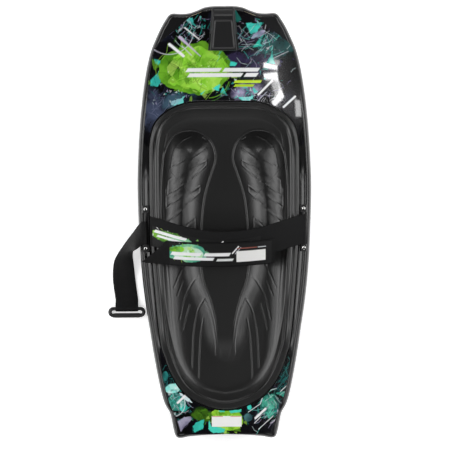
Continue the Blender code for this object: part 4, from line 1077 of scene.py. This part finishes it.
# Ring strap: out of the left bar, over the rail, down to the floor and back to the ring

ringStrap = {
    "width": 0.068,
    "path": (((0.006, 0.022, 1.00), (0.006, -0.046, 1.00)), ((0.014, 0.018, 0.96), (0.012, -0.049, 1.02)),
             ((0.024, 0.008, 0.80), (0.019, -0.055, 1.06)), ((0.038, -0.010, 0.60), (0.028, -0.061, 1.07)),
             ((0.056, -0.032, 0.38), (0.034, -0.064, 0.97)), ((0.073, -0.054, 0.17), (0.038, -0.067, 0.78)),
             ((0.088, -0.075, 0.03), (0.040, -0.073, 0.54)), ((0.098, -0.094, 0.00), (0.041, -0.084, 0.34)),
             ((0.102, -0.116, 0.00), (0.039, -0.106, 0.17)), ((0.103, -0.148, 0.00), (0.036, -0.141, 0.04)),
             ((0.100, -0.180, 0.01), (0.032, -0.176, 0.01))),
    "ringX": -0.2948, "ringY": -0.2565, "ringZ": 0.0089, "ringLoop": 0.0073, "tail": 0.022,
}


def buildRingStrap():
    floor = strap["webbing"] / 2 + 0.0003
    top = strap["barZ"] + strap["loop"]
    half = ringStrap["width"] / 2
    loop = loopEdges(-strap["barX"], strap["barZ"], half, strap["anchorY"] - 0.012)
    sides = []
    for side in (0, 1):
        points = [(-strap["barX"] - pair[side][0], strap["anchorY"] + pair[side][1],
                   floor + (top - floor) * pair[side][2]) for pair in ringStrap["path"]]
        sides.append(list(throughPoints(points, 8)))
    x, y, z, r = (ringStrap[k] for k in ("ringX", "ringY", "ringZ", "ringLoop"))
    line = [(y + 0.0275, floor + 0.0025), (y + 0.013, z + 0.6 * r), (y + 0.004, z + 0.97 * r)]
    line += [(y + r * math.cos(a), z + r * math.sin(a)) for a in np.linspace(math.pi / 2, 1.5 * math.pi, 17)]
    line += [(y + 0.006, floor), (y + ringStrap["tail"], floor)]
    ends = [[np.array([x + s * half, py, pz]) for py, pz in line] for s in (-1, 1)]
    left, right = loop[0] + sides[0] + ends[0], loop[1] + sides[1] + ends[1]
    return wear(bandPiece("ringWebbing", left, right, flatSection(strap["webbing"], 8)), webbingFinish)


ringWebbing = buildRingStrap()
fit(ringWebbing, "webbing", None, "ring_strap", "ring_strap_loop")
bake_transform(ringWebbing)
print("straps done")


# Tow hook: a tapering block with a sunk panel on its back and a ramp down to the nose, undercut from behind

towHook = {
    "origin": (0.0, 0.5058, 0.1200),
               "lean": 0.1979, "length": 0.1260, "height": 0.0400, "frontHeight": 0.0215,
    "rampStart": 0.0980, "rearHalf": 0.0455, "frontHalf": 0.0335, "ridge": 0.0090,
    "panelDepth": 0.0028, "across": 91, "along": 121,
    "slotDepth": 0.050, "slotLow": 0.0045, "slotHigh": 0.0340, "slotFall": 0.189,
}


def hookHeight(side, y):
    k = towHook
    full = k["height"] + (k["frontHeight"] - k["height"]) * np.clip(y / k["rampStart"], 0, 1)
    ramp = ease((y - k["rampStart"]) / (k["length"] - k["rampStart"]))
    full = full * (1 - ramp) + 0.0030 * ramp
    slope = np.clip(side / k["ridge"], 0, 1)
    z = full * (1 - (1 - slope) ** 2.4)
    panel = ease((y - 0.0080) / 0.0050) * ease((k["rampStart"] - 0.0060 - y) / 0.0070)
    z = z - k["panelDepth"] * ease((side - k["ridge"] - 0.0015) / 0.0050) * panel
    return z * (1 - (1 - np.clip((y - 0.0004) / 0.0050, 0, 1)) ** 4)


def buildHook():
    k = towHook
    rear = [0, 0.0004, 0.0006, 0.0009, 0.0014, 0.0021, 0.0030, 0.0040]
    v = np.concatenate([rear, np.linspace(0.0052, k["length"], k["along"] - len(rear))])
    half = np.interp(v, (0, k["length"]), (k["rearHalf"], k["frontHalf"]))
    u = np.sin(np.linspace(-1, 1, k["across"]) * math.pi / 2) * 0.45 + np.linspace(-1, 1, k["across"]) * 0.55
    x = half[:, None] * u[None, :]
    y = np.broadcast_to(v[:, None], x.shape)
    z = hookHeight(half[:, None] - np.abs(x), y)
    top = np.stack([x, y, z], axis=2)
    flat = np.stack([x, y, np.full_like(x, -0.0004)], axis=2)
    rows = np.concatenate([top, flat[::-1], top[:1]])
    hook = gridPiece("towHook", rows)
    closeMesh(fillHoles=True)
    bpy.ops.mesh.primitive_cube_add(size=2)
    cutter = bpy.context.object
    for vertex in cutter.data.vertices:
        y = k["slotDepth"] if vertex.co.y > 0 else -0.020
        z = k["slotHigh"] - k["slotFall"] * y if vertex.co.z > 0 else k["slotLow"]
        vertex.co = (0.1 * vertex.co.x, y, z)
    bpy.context.view_layer.objects.active = hook
    cut = hook.modifiers.new("slot", "BOOLEAN")
    cut.object, cut.operation, cut.solver = cutter, "DIFFERENCE", "EXACT"
    bpy.ops.object.modifier_apply(modifier=cut.name)
    bpy.data.objects.remove(cutter)
    turn = Matrix.Translation(k["origin"]) @ Matrix.Rotation(k["lean"], 4, "X")
    hook.data.transform(turn)
    hook.data.set_sharp_from_angle(angle=math.radians(42))
    return wear(hook, nylonFinish)


fit(buildHook(), "nylon", "board", "tow_hook")

# Strap ring: an oblong loop, thicker along the side the hand pulls

ring = {"half": 0.0505, "depth": 0.020, "corner": 0.0095, "bar": 0.0055, "grip": 0.0070, "level": 0.0089}


def buildRing():
    k = ring
    stations = []
    corners = ((1, 0), (1, -1), (-1, -1), (-1, 0))
    for quarter, (sideways, down) in enumerate(corners):
        cx = sideways * (k["half"] - k["corner"])
        cy = -k["corner"] if down == 0 else k["corner"] - k["depth"]
        for angle in math.pi / 2 * (1 - quarter - np.linspace(0, 1, 13)):
            stations.append((cx + k["corner"] * math.cos(angle), cy + k["corner"] * math.sin(angle)))
    path = evenly(np.vstack([stations, stations[:1]]), 161)[:-1]
    along = np.roll(path, -1, axis=0) - np.roll(path, 1, axis=0)
    along /= np.linalg.norm(along, axis=1)[:, None]
    outward = np.stack([-along[:, 1], along[:, 0]], axis=1)
    grip = ease((-path[:, 1] / k["depth"] - 0.55) / 0.4) * ease((0.046 - np.abs(path[:, 0])) / 0.012)
    wide = k["bar"] + (k["grip"] - k["bar"]) * grip
    turns = np.linspace(0, 2 * math.pi, 25)
    rows = []
    for place, out, radius in zip([*path, path[0]], [*outward, outward[0]], [*wide, wide[0]]):
        flat = place + out * (radius * np.cos(turns))[:, None]
        flat = flat + [ringStrap["ringX"], ringStrap["ringY"]]
        rows.append(np.column_stack([flat, k["level"] + k["bar"] * np.sin(turns)]))
    return wear(gridPiece("strapRing", rows, merge=True), nylonFinish)


fit(buildRing(), "nylon", "ring", "strap_ring")

for node in ("left_bracket", "right_bracket"):
    wear(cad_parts[node], nylonFinish)
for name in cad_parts:
    if name.endswith(("_bolt", "_washer")):
        wear(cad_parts[name], steelFinish)
print("fittings done")


# Floor, light and camera

def setStage():
    floorFinish = newFinish("paleFloor", "#f4f4f4", 0.9, Emission_Strength=0.55)
    floorFinish.node_tree.nodes["Principled BSDF"].inputs["Emission Color"].default_value = (1, 1, 1, 1)
    bpy.ops.mesh.primitive_plane_add(size=30, location=(0, 0, -0.0005))
    floor = bpy.context.object
    floor.name = "floor"
    wear(floor, floorFinish)
    world = bpy.data.worlds.new("studio")
    world.use_nodes = True
    world.node_tree.nodes["Background"].inputs["Color"].default_value = (1, 1, 1, 1)
    world.node_tree.nodes["Background"].inputs["Strength"].default_value = 0.02
    bpy.context.scene.world = world


def addSoftbox(name, place, target, size, radiance, spin=0):
    light = bpy.data.lights.new(name, "AREA")
    light.shape = "RECTANGLE"
    light.size, light.size_y = size
    light.energy = radiance * math.pi * size[0] * size[1]
    lamp = bpy.data.objects.new(name, light)
    bpy.context.scene.collection.objects.link(lamp)
    aim = (Vector(target) - Vector(place)).to_track_quat("-Z", "Y").to_matrix().to_4x4()
    lamp.matrix_world = Matrix.Translation(place) @ Matrix.Rotation(math.radians(spin), 4, "Z") @ aim


setStage()
middle = (0, 0, 0.05)
addSoftbox("leftBox", (-1.75, 0.1, 1.25), middle, (2.6, 0.8), 4.2)
addSoftbox("rightBox", (1.75, 0.1, 1.25), middle, (2.6, 0.8), 4.2)
addSoftbox("leftHigh", (-1.60, 0.1, 2.70), middle, (1.8, 0.5), 3.6)
addSoftbox("rightHigh", (1.60, 0.1, 2.70), middle, (1.8, 0.5), 3.6)
addSoftbox("noseBox", (0, 2.3, 1.5), middle, (1.8, 0.8), 2.4)
addSoftbox("tailBox", (0, -1.95, 2.8), middle, (1.6, 0.7), 4.5)
addSoftbox("noseGlareLow", (0.5725, -0.318, 4.0), (0.15, 0.4, 0.1), (0.17, 0.036), 30, spin=-24)
addSoftbox("noseGlareHigh", (0.625, -0.352, 4.0), (0.15, 0.4, 0.1), (0.12, 0.034), 10, spin=-24)
addSoftbox("noseEdgeGlare", (0.70, -0.12, 4.0), (0.21, 0.33, 0.1), (0.07, 0.18), 11)
camera = bpy.data.cameras.new("camera")
camera.lens = 135
cameraRig = bpy.data.objects.new("camera", camera)
bpy.context.scene.collection.objects.link(cameraRig)
cameraRig.location = (0.0012, -0.007, 5.075)
cameraRig.rotation_euler = (0, 0, math.radians(-0.35))
bpy.context.scene.camera = cameraRig
bpy.context.scene.view_settings.view_transform = "Standard"
